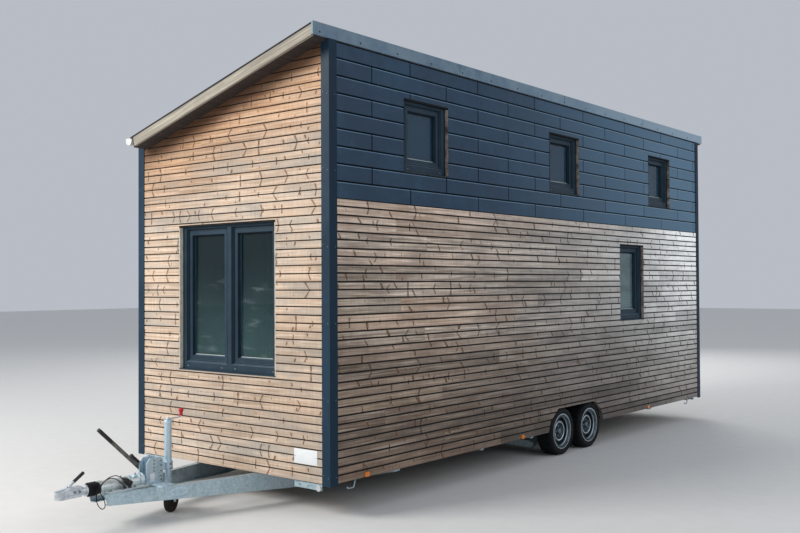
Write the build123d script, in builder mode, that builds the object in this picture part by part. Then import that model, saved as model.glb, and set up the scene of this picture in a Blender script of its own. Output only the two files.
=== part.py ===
from build123d import *
import os
from math import atan2, cos, hypot, pi, radians, sin, tan

os.makedirs("parts", exist_ok=True)

# Millimetres. X runs across the house, Y from the hitch to the rear, Z up from the ground.
# The origin is on the ground, in the middle of the house with its drawbar.

# Overall sizes
body_width = 2550
body_length = 7614
hitch_reach = 1650
front_overhang = 180
rear_overhang = 150
skirt_height = 280
roof_slope = 15.7
high_soffit = 3884

# Wall and floor layers
trim_sheet = 5
cladding_layer = 40
wall_core = 115
floor_thickness = 130
timber_height = 2321
panel_layer = 36
low_plate_height = 2950
low_parapet_height = 2965
trim_front_leg = 90
trim_side_leg = 93
trim_drop = 10
left_trim_height = 2975

# Roof layers
deck_thickness = 85
sheet_thickness = 18
flashing_sheet = 4
fascia_thickness = 17
drip_lip = 3
drip_lip_height = 10
fascia_return = 70
board_thickness = 25
board_drop = 3
eave_inset = 145
barge_eave_inset = 191
sheet_eave_inset = 125

# Gutter on the low side
gutter_radius = 45
gutter_wall = 2.5
gutter_side = 20
gutter_inset = 98
seat_gap = 0.3

# Windows and the entrance door: how far along the wall, how high above the skirt, width, height
frame_border = 64
frame_depth = 75
mullion = 64
sash_border = 56
sash_depth = 66
sash_set_back = 22
pane_thickness = 24
pane_set_back = 34
head_cover = 30
sill_drop = 12
sill_sheet = 2
sill_fall = 3
front_window_x = 5
front_window_bottom = 848
front_window_width = 1318
front_window_height = 1350
front_side_cover = 22
small_window_starts = (971, 3487, 5987)
small_window_width = 660
small_window_height = 677
small_window_bottom = 2619
low_window_start = 5150
low_window_width = 664
low_window_height = 960
low_window_bottom = 1162
door_start = 1500
door_width = 960
door_height = 2080
door_leaf_thickness = 62
door_glass_border = 150
door_glass_bottom = 900

# Running gear
wheel_radius = 260
tyre_width = 195
rim_radius = 192
wheel_face_inset = 20
axle_middle = 4063
axle_spacing = 620
arch_ahead = 8
arch_bottom_half = 630
arch_knee_half = 585
arch_top_half = 420
arch_knee_height = 120
arch_height = 243
box_wall = 5
box_inner_inset = 275
box_half_length = 655
box_height = 275

# Chassis
beam_sheet = 5
beam_flange = 50
beam_tip_x = 112
beam_tip_ahead = 1300
beam_spread = 0.234
beam_tip_depth = 87
beam_deep_at = 343
beam_depth = 163
bulkhead_start = 950
bulkhead_length = 80
outrigger_inset = 125
outrigger_height = 45
rail_x = 600
rail_width = 50
rail_height = 80
rail_rear_inset = 114
cross_member_start = 2300
axle_member_offsets = (-823, 657)
cross_member_rear_insets = (1414, 174)
cross_member_length = 60
axle_beam_size = 80
axle_beam_ahead = 150
stub_radius = 17.5
running_gap = 0.05

# Hitch
tube_height = 320
draw_tube_radius = 25
ball_socket_radius = 25.2
ball_socket_back = 48
head_half_width = 40
bellows_front_ahead = 1390
bellows_rear_ahead = 1286
bellows_radius = 56
flange_front_ahead = 1286
flange_thickness = 22
housing_front_ahead = 1264
housing_rear_ahead = 880
housing_radius = 50
brake_travel = 50
slide_gap = 0.3
handle_pivot_ahead = 1532
handle_pivot_height = 374
handle_length = 152
handle_angle = 34.5
lever_x = 80
lever_pivot_ahead = 800
lever_pivot_height = 362
lever_length = 580
lever_angle = 42.8

# Jockey wheel
jockey_ahead = 616
outer_tube_radius = 30
outer_tube_wall = 3
outer_tube_bottom = 306
outer_tube_top = 765
leg_wall = 4
leg_inside = 200
jockey_radius = 100
jockey_width = 50
jockey_trail = 55
jockey_turn = 25
fork_crown_height = 226
crank_reach = 134

# Derived places
half_width = body_width / 2
front_y = hitch_reach - (hitch_reach + body_length + rear_overhang) / 2
rear_y = front_y + body_length
middle_y = (front_y + rear_y) / 2
clad_x = half_width - trim_sheet
core_x = clad_x - cladding_layer
inner_x = core_x - wall_core
skin = trim_sheet + cladding_layer
floor_top = skirt_height + floor_thickness
timber_top = skirt_height + timber_height
plate_top = skirt_height + low_plate_height
parapet_top = skirt_height + low_parapet_height
roof_front_y = front_y - front_overhang
roof_rear_y = rear_y + rear_overhang
deck_edge_x = half_width - drip_lip - fascia_thickness
eave_x = half_width - eave_inset
barge_eave_x = half_width - barge_eave_inset
sheet_eave_x = half_width - sheet_eave_inset
gutter_x = half_width - gutter_inset
box_inner_x = half_width - box_inner_inset
outrigger_x = half_width - outrigger_inset
rail_end = body_length - rail_rear_inset


def soffit(x):
    """Height of the roof's underside at a distance across the house."""
    return high_soffit - (half_width - x) * tan(radians(roof_slope))


soffit_plane = Plane(
    origin=(0, 0, soffit(0)),
    x_dir=(cos(radians(roof_slope)), 0, sin(radians(roof_slope))),
    z_dir=(-sin(radians(roof_slope)), 0, cos(radians(roof_slope))),
)


def across(y):
    """A plane across the house at a distance along it, seen from the hitch."""
    return Plane(origin=(0, y, 0), x_dir=(1, 0, 0), z_dir=(0, -1, 0))


def along(x):
    """A plane along the house at a distance across it, seen from the high side."""
    return Plane(origin=(x, 0, 0), x_dir=(0, 1, 0), z_dir=(1, 0, 0))


# Openings: a plane on the cladding's face, centred on the opening, then width, height and leaves
def front_opening(x, bottom, width, height, leaves):
    middle = (x, front_y + trim_sheet, skirt_height + bottom + height / 2)
    return (Plane(origin=middle, x_dir=(1, 0, 0), z_dir=(0, -1, 0)), width, height, leaves)


def rear_opening(x, bottom, width, height, leaves):
    middle = (x, rear_y - trim_sheet, skirt_height + bottom + height / 2)
    return (Plane(origin=middle, x_dir=(-1, 0, 0), z_dir=(0, 1, 0)), width, height, leaves)


def right_opening(start, bottom, width, height, leaves=1):
    middle = (clad_x, front_y + start + width / 2, skirt_height + bottom + height / 2)
    return (Plane(origin=middle, x_dir=(0, 1, 0), z_dir=(1, 0, 0)), width, height, leaves)


def left_opening(start, bottom, width, height, leaves=1):
    middle = (-clad_x, front_y + start + width / 2, skirt_height + bottom + height / 2)
    return (Plane(origin=middle, x_dir=(0, -1, 0), z_dir=(-1, 0, 0)), width, height, leaves)


front_windows = [
    front_opening(front_window_x, front_window_bottom, front_window_width, front_window_height, 2)
]
rear_windows = [
    rear_opening(front_window_x, front_window_bottom, front_window_width, front_window_height, 2)
]
right_windows = [
    right_opening(start, small_window_bottom, small_window_width, small_window_height)
    for start in small_window_starts
]
right_windows.append(
    right_opening(low_window_start, low_window_bottom, low_window_width, low_window_height)
)
left_windows = [
    left_opening(low_window_start, low_window_bottom, low_window_width, low_window_height)
]
doorway = left_opening(door_start, floor_thickness, door_width, door_height)
all_windows = front_windows + rear_windows + right_windows + left_windows


def cladding_hole(opening, side_cover=0):
    """A window's hole in the cladding, which covers the frame's head and clears its sill."""
    plane, width, height, leaves = opening
    middle = (-side_cover / 2, -(head_cover + sill_drop) / 2, 0)
    hole_height = height - head_cover + sill_drop
    face = Plane(plane.location * Location(middle))
    return (face, width - side_cover, hole_height, leaves)


front_holes = [cladding_hole(opening, front_side_cover) for opening in front_windows]
rear_holes = [cladding_hole(opening, front_side_cover) for opening in rear_windows]
right_holes = [cladding_hole(opening) for opening in right_windows]
left_holes = [cladding_hole(opening) for opening in left_windows]
wall_depth = cladding_layer + wall_core

# Floor
deck_length = body_length - 2 * skin
box_middle_y = front_y + axle_middle - arch_ahead
box_middle_x = (box_inner_x + core_x) / 2
box_width = core_x - box_inner_x
with BuildPart() as floor_deck:
    with BuildSketch(Plane.XY.offset(skirt_height)):
        with Locations((0, middle_y)):
            Rectangle(2 * core_x, deck_length)
        with Locations((-box_middle_x, box_middle_y), (box_middle_x, box_middle_y)):
            Rectangle(box_width, 2 * box_half_length, mode=Mode.SUBTRACT)
    extrude(amount=floor_thickness)
floor_deck.part.label = "floor_deck"
export_step(floor_deck.part, "parts/floor_deck.step")

# Wheel boxes, open below and towards the arches
with BuildPart() as wheel_boxes:
    with BuildSketch(Plane.XY.offset(skirt_height)):
        with Locations((box_middle_x, box_middle_y)):
            Rectangle(box_width, 2 * box_half_length)
    extrude(amount=box_height)
    with BuildSketch(Plane.XY.offset(skirt_height)):
        with Locations((box_middle_x + box_wall, box_middle_y)):
            Rectangle(box_width, 2 * (box_half_length - box_wall))
    extrude(amount=box_height - box_wall, mode=Mode.SUBTRACT)
    mirror(about=Plane.YZ)
wheel_boxes.part.label = "wheel_boxes"
export_step(wheel_boxes.part, "parts/wheel_boxes.step")


def end_wall_outline(bottom, low_top):
    """The outline of an end wall, seen from the hitch: its top follows the roof."""
    with BuildSketch() as outline:
        with BuildLine():
            Polyline(
                (-core_x, bottom),
                (core_x, bottom),
                (core_x, soffit(core_x)),
                (-eave_x, soffit(-eave_x)),
                (-eave_x, low_top),
                (-core_x, low_top),
                close=True,
            )
        make_face()
    return outline.sketch


def cut_openings(openings, depth):
    """Cut openings through the wall that is being made, from its outer face inwards."""
    for plane, width, height, leaves in openings:
        with BuildSketch(plane.offset(1)) as hole:
            Rectangle(width, height)
        extrude(hole.sketch, amount=-(depth + 2), mode=Mode.SUBTRACT)


gutter_seat_width = 2 * (gutter_radius + 2)


def cut_gutter_seat():
    """Cut the notch that lets the gutter pass over a wall's top."""
    with BuildSketch(Plane.XY.offset(plate_top)) as notch:
        with Locations((-gutter_x, middle_y)):
            Rectangle(gutter_seat_width, 2 * body_length)
    extrude(notch.sketch, amount=gutter_radius + gutter_side, mode=Mode.SUBTRACT)


# End walls
with BuildPart() as front_wall:
    extrude(across(front_y + skin) * end_wall_outline(floor_top, plate_top), amount=-wall_core)
    cut_openings(front_windows, wall_depth)
front_wall.part.label = "front_wall"
export_step(front_wall.part, "parts/front_wall.step")

with BuildPart() as rear_wall:
    extrude(across(rear_y - skin) * end_wall_outline(floor_top, plate_top), amount=wall_core)
    cut_openings(rear_windows, wall_depth)
rear_wall.part.label = "rear_wall"
export_step(rear_wall.part, "parts/rear_wall.step")

with BuildPart() as front_cladding:
    extrude(
        across(front_y + trim_sheet) * end_wall_outline(skirt_height, parapet_top),
        amount=-cladding_layer,
    )
    cut_openings(front_holes, cladding_layer)
    cut_gutter_seat()
front_cladding.part.label = "front_cladding"
export_step(front_cladding.part, "parts/front_cladding.step")

with BuildPart() as rear_cladding:
    extrude(
        across(rear_y - trim_sheet) * end_wall_outline(skirt_height, parapet_top),
        amount=cladding_layer,
    )
    cut_openings(rear_holes, cladding_layer)
    cut_gutter_seat()
rear_cladding.part.label = "rear_cladding"
export_step(rear_cladding.part, "parts/rear_cladding.step")

# Side walls
side_core_start = front_y + skin + wall_core
side_core_length = body_length - 2 * (skin + wall_core)
wheel_box_room = (box_middle_y, 2 * box_half_length)


def cut_wheel_box(side):
    """Cut the room of a wheel box out of a side wall."""
    with BuildSketch(Plane.XY.offset(skirt_height)) as room:
        with Locations((side * box_middle_x, wheel_box_room[0])):
            Rectangle(box_width, wheel_box_room[1])
    extrude(room.sketch, amount=box_height, mode=Mode.SUBTRACT)


with BuildPart() as right_wall:
    with BuildSketch(across(side_core_start)):
        with BuildLine():
            Polyline(
                (inner_x, floor_top),
                (core_x, floor_top),
                (core_x, soffit(core_x)),
                (inner_x, soffit(inner_x)),
                close=True,
            )
        make_face()
    extrude(amount=-side_core_length)
    cut_openings(right_windows, wall_depth)
    cut_wheel_box(1)
right_wall.part.label = "right_wall"
export_step(right_wall.part, "parts/right_wall.step")

with BuildPart() as left_wall:
    with BuildSketch(across(side_core_start)):
        with BuildLine():
            Polyline(
                (-core_x, floor_top),
                (-inner_x, floor_top),
                (-inner_x, soffit(-inner_x)),
                (-eave_x, soffit(-eave_x)),
                (-eave_x, plate_top),
                (-core_x, plate_top),
                close=True,
            )
        make_face()
    extrude(amount=-side_core_length)
    cut_openings(left_windows + [doorway], wall_depth)
    cut_wheel_box(-1)
left_wall.part.label = "left_wall"
export_step(left_wall.part, "parts/left_wall.step")

# Side cladding: timber below, metal panels above
side_clad_start = front_y + trim_sheet
side_clad_length = body_length - 2 * trim_sheet


def cut_arch(side):
    """Cut a wheel arch with knees out of the timber at one side."""
    with BuildSketch(along(side * half_width)) as arch:
        with BuildLine():
            Polyline(
                (box_middle_y - arch_bottom_half, skirt_height),
                (box_middle_y + arch_bottom_half, skirt_height),
                (box_middle_y + arch_knee_half, skirt_height + arch_knee_height),
                (box_middle_y + arch_top_half, skirt_height + arch_height),
                (box_middle_y - arch_top_half, skirt_height + arch_height),
                (box_middle_y - arch_knee_half, skirt_height + arch_knee_height),
                close=True,
            )
        make_face()
    extrude(arch.sketch, amount=-side * (cladding_layer + trim_sheet), mode=Mode.SUBTRACT)


with BuildPart() as right_cladding:
    with BuildSketch(along(core_x)):
        with Locations((middle_y, skirt_height + timber_height / 2)):
            Rectangle(side_clad_length, timber_height)
    extrude(amount=cladding_layer)
    cut_openings(right_holes, cladding_layer)
    cut_arch(1)
right_cladding.part.label = "right_cladding"
export_step(right_cladding.part, "parts/right_cladding.step")

with BuildPart() as right_panels:
    with BuildSketch(across(side_clad_start)):
        with BuildLine():
            Polyline(
                (core_x, timber_top),
                (core_x + panel_layer, timber_top),
                (core_x + panel_layer, soffit(core_x + panel_layer)),
                (core_x, soffit(core_x)),
                close=True,
            )
        make_face()
    extrude(amount=-side_clad_length)
    cut_openings(right_holes, cladding_layer)
right_panels.part.label = "right_panels"
export_step(right_panels.part, "parts/right_panels.step")

with BuildPart() as left_cladding:
    with BuildSketch(along(-core_x)):
        with Locations((middle_y, skirt_height + timber_height / 2)):
            Rectangle(side_clad_length, timber_height)
    extrude(amount=-cladding_layer)
    cut_openings(left_holes + [doorway], cladding_layer)
    cut_arch(-1)
left_cladding.part.label = "left_cladding"
export_step(left_cladding.part, "parts/left_cladding.step")

with BuildPart() as left_panels:
    with BuildSketch(along(-core_x)):
        with Locations((middle_y, (timber_top + parapet_top) / 2)):
            Rectangle(side_clad_length, parapet_top - timber_top)
    extrude(amount=-panel_layer)
    cut_gutter_seat()
left_panels.part.label = "left_panels"
export_step(left_panels.part, "parts/left_panels.step")

# Folded corner trims
trim_bottom = skirt_height - trim_drop
with BuildPart() as corner_trims:
    for side in (-1, 1):
        for end in (-1, 1):
            corner_y = middle_y + end * body_length / 2
            with BuildSketch(Plane.XY.offset(trim_bottom)):
                with BuildLine():
                    Polyline(
                        (side * half_width, corner_y),
                        (side * half_width, corner_y - end * trim_side_leg),
                        (side * clad_x, corner_y - end * trim_side_leg),
                        (side * clad_x, corner_y - end * trim_sheet),
                        (side * (half_width - trim_front_leg), corner_y - end * trim_sheet),
                        (side * (half_width - trim_front_leg), corner_y),
                        close=True,
                    )
                make_face()
            trim_top = high_soffit if side > 0 else skirt_height + left_trim_height
            extrude(amount=trim_top - trim_bottom)
    with BuildSketch(soffit_plane):
        with Locations((half_width, middle_y)):
            Rectangle(body_width, 2 * body_length)
    extrude(amount=2 * trim_front_leg, mode=Mode.SUBTRACT)
    cut_gutter_seat()
corner_trims.part.label = "corner_trims"
export_step(corner_trims.part, "parts/corner_trims.step")

# Roof
deck_start = roof_front_y + board_thickness
deck_stop = roof_rear_y - board_thickness
with BuildPart() as roof_deck:
    with BuildSketch(across(deck_start)):
        with BuildLine():
            Polyline(
                (-eave_x, soffit(-eave_x)),
                (deck_edge_x, soffit(deck_edge_x)),
                (deck_edge_x, soffit(deck_edge_x) + deck_thickness),
                (-eave_x, soffit(-eave_x) + deck_thickness),
                close=True,
            )
        make_face()
    extrude(amount=deck_start - deck_stop)
roof_deck.part.label = "roof_deck"
export_step(roof_deck.part, "parts/roof_deck.step")

with BuildPart() as roof_sheet:
    with BuildSketch(across(roof_front_y)):
        with BuildLine():
            Polyline(
                (-sheet_eave_x, soffit(-sheet_eave_x) + deck_thickness),
                (deck_edge_x, soffit(deck_edge_x) + deck_thickness),
                (deck_edge_x, soffit(deck_edge_x) + deck_thickness + sheet_thickness),
                (-sheet_eave_x, soffit(-sheet_eave_x) + deck_thickness + sheet_thickness),
                close=True,
            )
        make_face()
    extrude(amount=roof_front_y - roof_rear_y)
roof_sheet.part.label = "roof_sheet"
export_step(roof_sheet.part, "parts/roof_sheet.step")

roof_build_up = deck_thickness + sheet_thickness
fascia_face_x = half_width - drip_lip
fascia_back_x = half_width - fascia_return
with BuildPart() as high_fascia:
    with BuildSketch(across(roof_front_y)):
        with BuildLine():
            Polyline(
                (deck_edge_x, high_soffit),
                (half_width, high_soffit),
                (half_width, high_soffit + drip_lip_height / 2),
                (fascia_face_x, high_soffit + drip_lip_height),
                (fascia_face_x, soffit(fascia_face_x) + roof_build_up + flashing_sheet),
                (fascia_back_x, soffit(fascia_back_x) + roof_build_up + flashing_sheet),
                (fascia_back_x, soffit(fascia_back_x) + roof_build_up),
                (deck_edge_x, soffit(deck_edge_x) + roof_build_up),
                close=True,
            )
        make_face()
    extrude(amount=roof_front_y - roof_rear_y)
high_fascia.part.label = "high_fascia"
export_step(high_fascia.part, "parts/high_fascia.step")

barge_lean = deck_thickness * tan(radians(roof_slope))
with BuildPart() as bargeboards:
    for start in (roof_front_y, roof_rear_y - board_thickness):
        with BuildSketch(across(start)):
            with BuildLine():
                Polyline(
                    (-barge_eave_x, soffit(-barge_eave_x) - board_drop),
                    (deck_edge_x, soffit(deck_edge_x) - board_drop),
                    (deck_edge_x, soffit(deck_edge_x) + deck_thickness),
                    (-barge_eave_x - barge_lean, soffit(-barge_eave_x - barge_lean) + deck_thickness),
                    close=True,
                )
            make_face()
        extrude(amount=-board_thickness)
bargeboards.part.label = "bargeboards"
export_step(bargeboards.part, "parts/bargeboards.step")

gutter_centre_z = plate_top + seat_gap + gutter_radius
with BuildPart() as gutter:
    with BuildSketch(across(roof_front_y)):
        with Locations((-gutter_x, gutter_centre_z)):
            Circle(gutter_radius)
        with Locations((-gutter_x, gutter_centre_z + gutter_radius / 2)):
            Rectangle(2 * gutter_radius, gutter_radius)
        with Locations((-gutter_x, gutter_centre_z + gutter_side + gutter_radius)):
            Rectangle(2 * gutter_radius, 2 * gutter_radius, mode=Mode.SUBTRACT)
    extrude(amount=roof_front_y - roof_rear_y)
    with BuildSketch(across(roof_front_y + gutter_wall)):
        with Locations((-gutter_x, gutter_centre_z)):
            Circle(gutter_radius - gutter_wall)
        with Locations((-gutter_x, gutter_centre_z + gutter_radius)):
            Rectangle(2 * (gutter_radius - gutter_wall), 2 * gutter_radius)
    extrude(amount=roof_front_y - roof_rear_y + 2 * gutter_wall, mode=Mode.SUBTRACT)
    with BuildSketch(across(roof_front_y - 1)):
        with BuildLine():
            Polyline(
                (-sheet_eave_x - 2, soffit(-sheet_eave_x - 2) + deck_thickness - 2),
                (-eave_x, soffit(-eave_x) + deck_thickness - 2),
                (-eave_x, plate_top + 3 * gutter_radius),
                (-sheet_eave_x - 2, plate_top + 3 * gutter_radius),
                close=True,
            )
        make_face()
    extrude(amount=roof_front_y - roof_rear_y - 2, mode=Mode.SUBTRACT)
gutter.part.label = "gutter"
export_step(gutter.part, "parts/gutter.step")


# Window frames, sills, sashes and panes
def ring(plane, width, height, border, depth):
    """A rectangular ring whose outer face lies on the plane."""
    with BuildPart() as piece:
        with BuildSketch(plane):
            Rectangle(width, height)
            Rectangle(width - 2 * border, height - 2 * border, mode=Mode.SUBTRACT)
        extrude(amount=-depth)
    return piece.part


def leaf_room(width, leaves):
    """The room that a window's frame leaves for one leaf."""
    return (width - 2 * frame_border - (leaves - 1) * mullion) / leaves


def leaf_planes(plane, width, leaves):
    """The planes of a window's leaves, each on its own leaf's middle."""
    pitch = leaf_room(width, leaves) + mullion
    first = -(leaves - 1) * pitch / 2
    return [plane * Plane(origin=(first + i * pitch, 0, 0)) for i in range(leaves)]


with BuildPart() as window_frames:
    for plane, width, height, leaves in all_windows:
        face = plane.offset(-cladding_layer)
        with BuildSketch(face):
            Rectangle(width, height)
        extrude(amount=-frame_depth)
        for leaf in leaf_planes(face, width, leaves):
            with BuildSketch(leaf):
                Rectangle(leaf_room(width, leaves), height - 2 * frame_border)
            extrude(amount=-frame_depth, mode=Mode.SUBTRACT)
window_frames.part.label = "window_frames"
export_step(window_frames.part, "parts/window_frames.step")

with BuildPart() as window_sills:
    for plane, width, height, leaves in front_holes + rear_holes + right_holes + left_holes:
        end = plane * Plane(
            origin=(-width / 2 + seat_gap, -height / 2 + seat_gap, -cladding_layer + seat_gap),
            x_dir=(0, 0, 1),
            z_dir=(1, 0, 0),
        )
        reach = cladding_layer - 2 * seat_gap
        fall_top = sill_drop - seat_gap
        with BuildSketch(end):
            with BuildLine():
                Polyline(
                    (0, -fall_top),
                    (reach, -fall_top + sill_fall),
                    (reach, 0),
                    (reach - sill_sheet, 0),
                    (reach - sill_sheet, -fall_top + sill_fall + sill_sheet),
                    (0, -fall_top + sill_sheet),
                    close=True,
                )
            make_face()
        extrude(amount=width - 2 * seat_gap)
window_sills.part.label = "window_sills"
export_step(window_sills.part, "parts/window_sills.step")

sash_recess = cladding_layer + sash_set_back
with BuildPart() as window_sashes:
    for plane, width, height, leaves in all_windows:
        leaf_width = leaf_room(width, leaves) - 2 * seat_gap
        leaf_height = height - 2 * frame_border - 2 * seat_gap
        for leaf in leaf_planes(plane.offset(-sash_recess), width, leaves):
            add(ring(leaf, leaf_width, leaf_height, sash_border, sash_depth))
window_sashes.part.label = "window_sashes"
export_step(window_sashes.part, "parts/window_sashes.step")

with BuildPart() as window_panes:
    for plane, width, height, leaves in all_windows:
        pane_width = leaf_room(width, leaves) - 2 * seat_gap - 2 * sash_border
        pane_height = height - 2 * (frame_border + seat_gap + sash_border)
        for leaf in leaf_planes(plane.offset(-sash_recess - pane_set_back), width, leaves):
            with BuildSketch(leaf):
                Rectangle(pane_width, pane_height)
            extrude(amount=-pane_thickness)
window_panes.part.label = "window_panes"
export_step(window_panes.part, "parts/window_panes.step")

# Entrance door on the low side, closed
door_plane = doorway[0].offset(-cladding_layer)
with BuildPart() as door_frame:
    add(ring(door_plane, door_width, door_height, frame_border, frame_depth))
door_frame.part.label = "door_frame"
export_step(door_frame.part, "parts/door_frame.step")

leaf_door_width = door_width - 2 * (frame_border + seat_gap)
leaf_door_height = door_height - 2 * (frame_border + seat_gap)
door_glass_width = leaf_door_width - 2 * door_glass_border
door_glass_height = leaf_door_height - door_glass_bottom - door_glass_border
door_glass_middle = (door_glass_bottom - door_glass_border) / 2
leaf_plane = door_plane.offset(-sash_set_back)
with BuildPart() as entrance_door:
    with BuildSketch(leaf_plane):
        Rectangle(leaf_door_width, leaf_door_height)
        with Locations((0, door_glass_middle)):
            Rectangle(door_glass_width, door_glass_height, mode=Mode.SUBTRACT)
    extrude(amount=-door_leaf_thickness)
entrance_door.part.label = "entrance_door"
export_step(entrance_door.part, "parts/entrance_door.step")

with BuildPart() as door_pane:
    with BuildSketch(leaf_plane.offset(-pane_set_back)):
        with Locations((0, door_glass_middle)):
            Rectangle(door_glass_width, door_glass_height)
    extrude(amount=-pane_thickness)
door_pane.part.label = "door_pane"
export_step(door_pane.part, "parts/door_pane.step")

# Wheels
wheel_x = half_width - wheel_face_inset - tyre_width / 2
half_tyre = tyre_width / 2
shoulder = 18
bead_radius = 168
rim_barrel_radius = 158
rim_half_width = 84
hub_radius = 48
disc_offset = 22
crown_radius = 100
crown_offset = 52
hat_offset = 34
drum_radius = 112
drum_front = -6
drum_back = -84
vent_count = 12
vent_radius = 8
vent_circle = 127
stub_reach = 46
flange_width = 6
bead_gap = 0.3
wheel_ys = {
    "front": front_y + axle_middle - axle_spacing / 2,
    "rear": front_y + axle_middle + axle_spacing / 2,
}


def tyre(side, y):
    """A tyre with a flat tread, round shoulders and side walls that bulge past the rim."""
    centre = (side * wheel_x, y, wheel_radius)
    bead_half = rim_half_width - bead_gap
    with BuildPart() as piece:
        with BuildSketch(Plane(origin=centre, x_dir=(1, 0, 0), z_dir=(0, -1, 0))):
            with BuildLine():
                Line((0, bead_radius), (bead_half, bead_radius))
                Line((bead_half, bead_radius), (bead_half, rim_radius + 2))
                Spline(
                    (bead_half, rim_radius + 2),
                    (half_tyre, wheel_radius - 38),
                    (half_tyre - shoulder, wheel_radius - shoulder / 3),
                    tangents=[(1, 0.9), (-1, 0.9)],
                )
                Line(
                    (half_tyre - shoulder, wheel_radius - shoulder / 3),
                    (half_tyre - 2 * shoulder, wheel_radius),
                )
                Line((half_tyre - 2 * shoulder, wheel_radius), (0, wheel_radius))
                Line((0, wheel_radius), (0, bead_radius))
            make_face()
            mirror(about=Plane.YZ)
        revolve(axis=Axis(centre, (1, 0, 0)))
    return piece.part


def rim(side, y):
    """A steel rim with a raised centre ring and vent holes, and the brake drum bolted behind it."""
    centre = (side * wheel_x, y, wheel_radius)
    with BuildPart() as piece:
        with BuildSketch(Plane(origin=centre, x_dir=(side, 0, 0), z_dir=(0, -side, 0))):
            with BuildLine():
                Polyline(
                    (-rim_half_width - flange_width, rim_radius),
                    (-rim_half_width - flange_width, rim_barrel_radius),
                    (-rim_half_width + 16, rim_barrel_radius),
                    (-rim_half_width + 30, rim_barrel_radius - 12),
                    (disc_offset - 6, rim_barrel_radius - 12),
                    (disc_offset + 10, rim_barrel_radius - 22),
                    (crown_offset - 6, crown_radius + 14),
                    (crown_offset - 6, crown_radius - 8),
                    (hat_offset - 6, crown_radius - 22),
                    (hat_offset - 6, drum_radius - 30),
                    (drum_front, drum_radius - 6),
                    (drum_front - 6, drum_radius),
                    (drum_back, drum_radius),
                    (drum_back, hub_radius),
                    (drum_back, stub_radius + running_gap),
                    (drum_back + stub_reach, stub_radius + running_gap),
                    (drum_back + stub_reach, 0),
                    (hat_offset + 20, 0),
                    (hat_offset + 20, hub_radius - 18),
                    (hat_offset + 8, hub_radius - 10),
                    (hat_offset, hub_radius - 8),
                    (hat_offset, crown_radius - 28),
                    (crown_offset, crown_radius - 12),
                    (crown_offset, crown_radius + 16),
                    (disc_offset + 16, rim_barrel_radius - 18),
                    (disc_offset + 14, rim_barrel_radius - 8),
                    (rim_half_width - 30, rim_barrel_radius - 6),
                    (rim_half_width - 16, rim_barrel_radius + 4),
                    (rim_half_width + flange_width - 2, rim_barrel_radius + 4),
                    (rim_half_width + flange_width, rim_barrel_radius + 6),
                    (rim_half_width + flange_width, rim_radius),
                    (rim_half_width, rim_radius),
                    (rim_half_width, bead_radius - bead_gap),
                    (-rim_half_width, bead_radius - bead_gap),
                    (-rim_half_width, rim_radius),
                    close=True,
                )
            make_face()
        revolve(axis=Axis(centre, (1, 0, 0)))
        vent_face = (side * (wheel_x + crown_offset + 20), y, wheel_radius)
        with BuildSketch(Plane(origin=vent_face, x_dir=(0, 1, 0), z_dir=(side, 0, 0))):
            with PolarLocations(vent_circle, vent_count):
                Circle(vent_radius)
        extrude(amount=-crown_offset - 20 + disc_offset / 2, mode=Mode.SUBTRACT)
    return piece.part


for side_name, side in (("left", -1), ("right", 1)):
    for place, y in wheel_ys.items():
        tyre_part = tyre(side, y)
        tyre_part.label = f"tyre_{place}_{side_name}"
        export_step(tyre_part, f"parts/tyre_{place}_{side_name}.step")
        rim_part = rim(side, y)
        rim_part.label = f"rim_{place}_{side_name}"
        export_step(rim_part, f"parts/rim_{place}_{side_name}.step")

# Chassis
rail_top = skirt_height - outrigger_height
axle_beam_top = rail_top - rail_height
arm_inset = 325
arm_inner_x = half_width - arm_inset
arm_thickness = 30
arm_pivot_z = axle_beam_top - axle_beam_size / 2
stub_tip_x = wheel_x + drum_back + stub_reach - 4
with BuildPart() as axles:
    for y in wheel_ys.values():
        beam_y = y - axle_beam_ahead
        with BuildSketch(along(0)):
            with Locations((beam_y, arm_pivot_z)):
                RectangleRounded(axle_beam_size, axle_beam_size, 8)
        extrude(amount=arm_inner_x)
        with BuildSketch(along(arm_inner_x)):
            with Locations((beam_y, arm_pivot_z)):
                Circle(axle_beam_size / 2 - 4)
            with Locations((y, wheel_radius)):
                Circle(stub_radius)
            make_hull()
        extrude(amount=arm_thickness)
        with BuildSketch(along(arm_inner_x + arm_thickness)):
            with Locations((y, wheel_radius)):
                Circle(stub_radius)
        extrude(amount=stub_tip_x - arm_inner_x - arm_thickness)
    mirror(about=Plane.YZ)
axles.part.label = "axles"
export_step(axles.part, "parts/axles.step")

with BuildPart() as chassis_rails:
    with BuildSketch(across(front_y + bulkhead_start + bulkhead_length)):
        with Locations((rail_x + rail_width / 2, rail_top - rail_height / 2)):
            Rectangle(rail_width, rail_height)
        with Locations((rail_x + rail_width / 2 - beam_sheet, rail_top - rail_height / 2)):
            Rectangle(rail_width, rail_height - 2 * beam_sheet, mode=Mode.SUBTRACT)
    extrude(amount=bulkhead_start + bulkhead_length - rail_end)
    mirror(about=Plane.YZ)
chassis_rails.part.label = "chassis_rails"
export_step(chassis_rails.part, "parts/chassis_rails.step")

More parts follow.
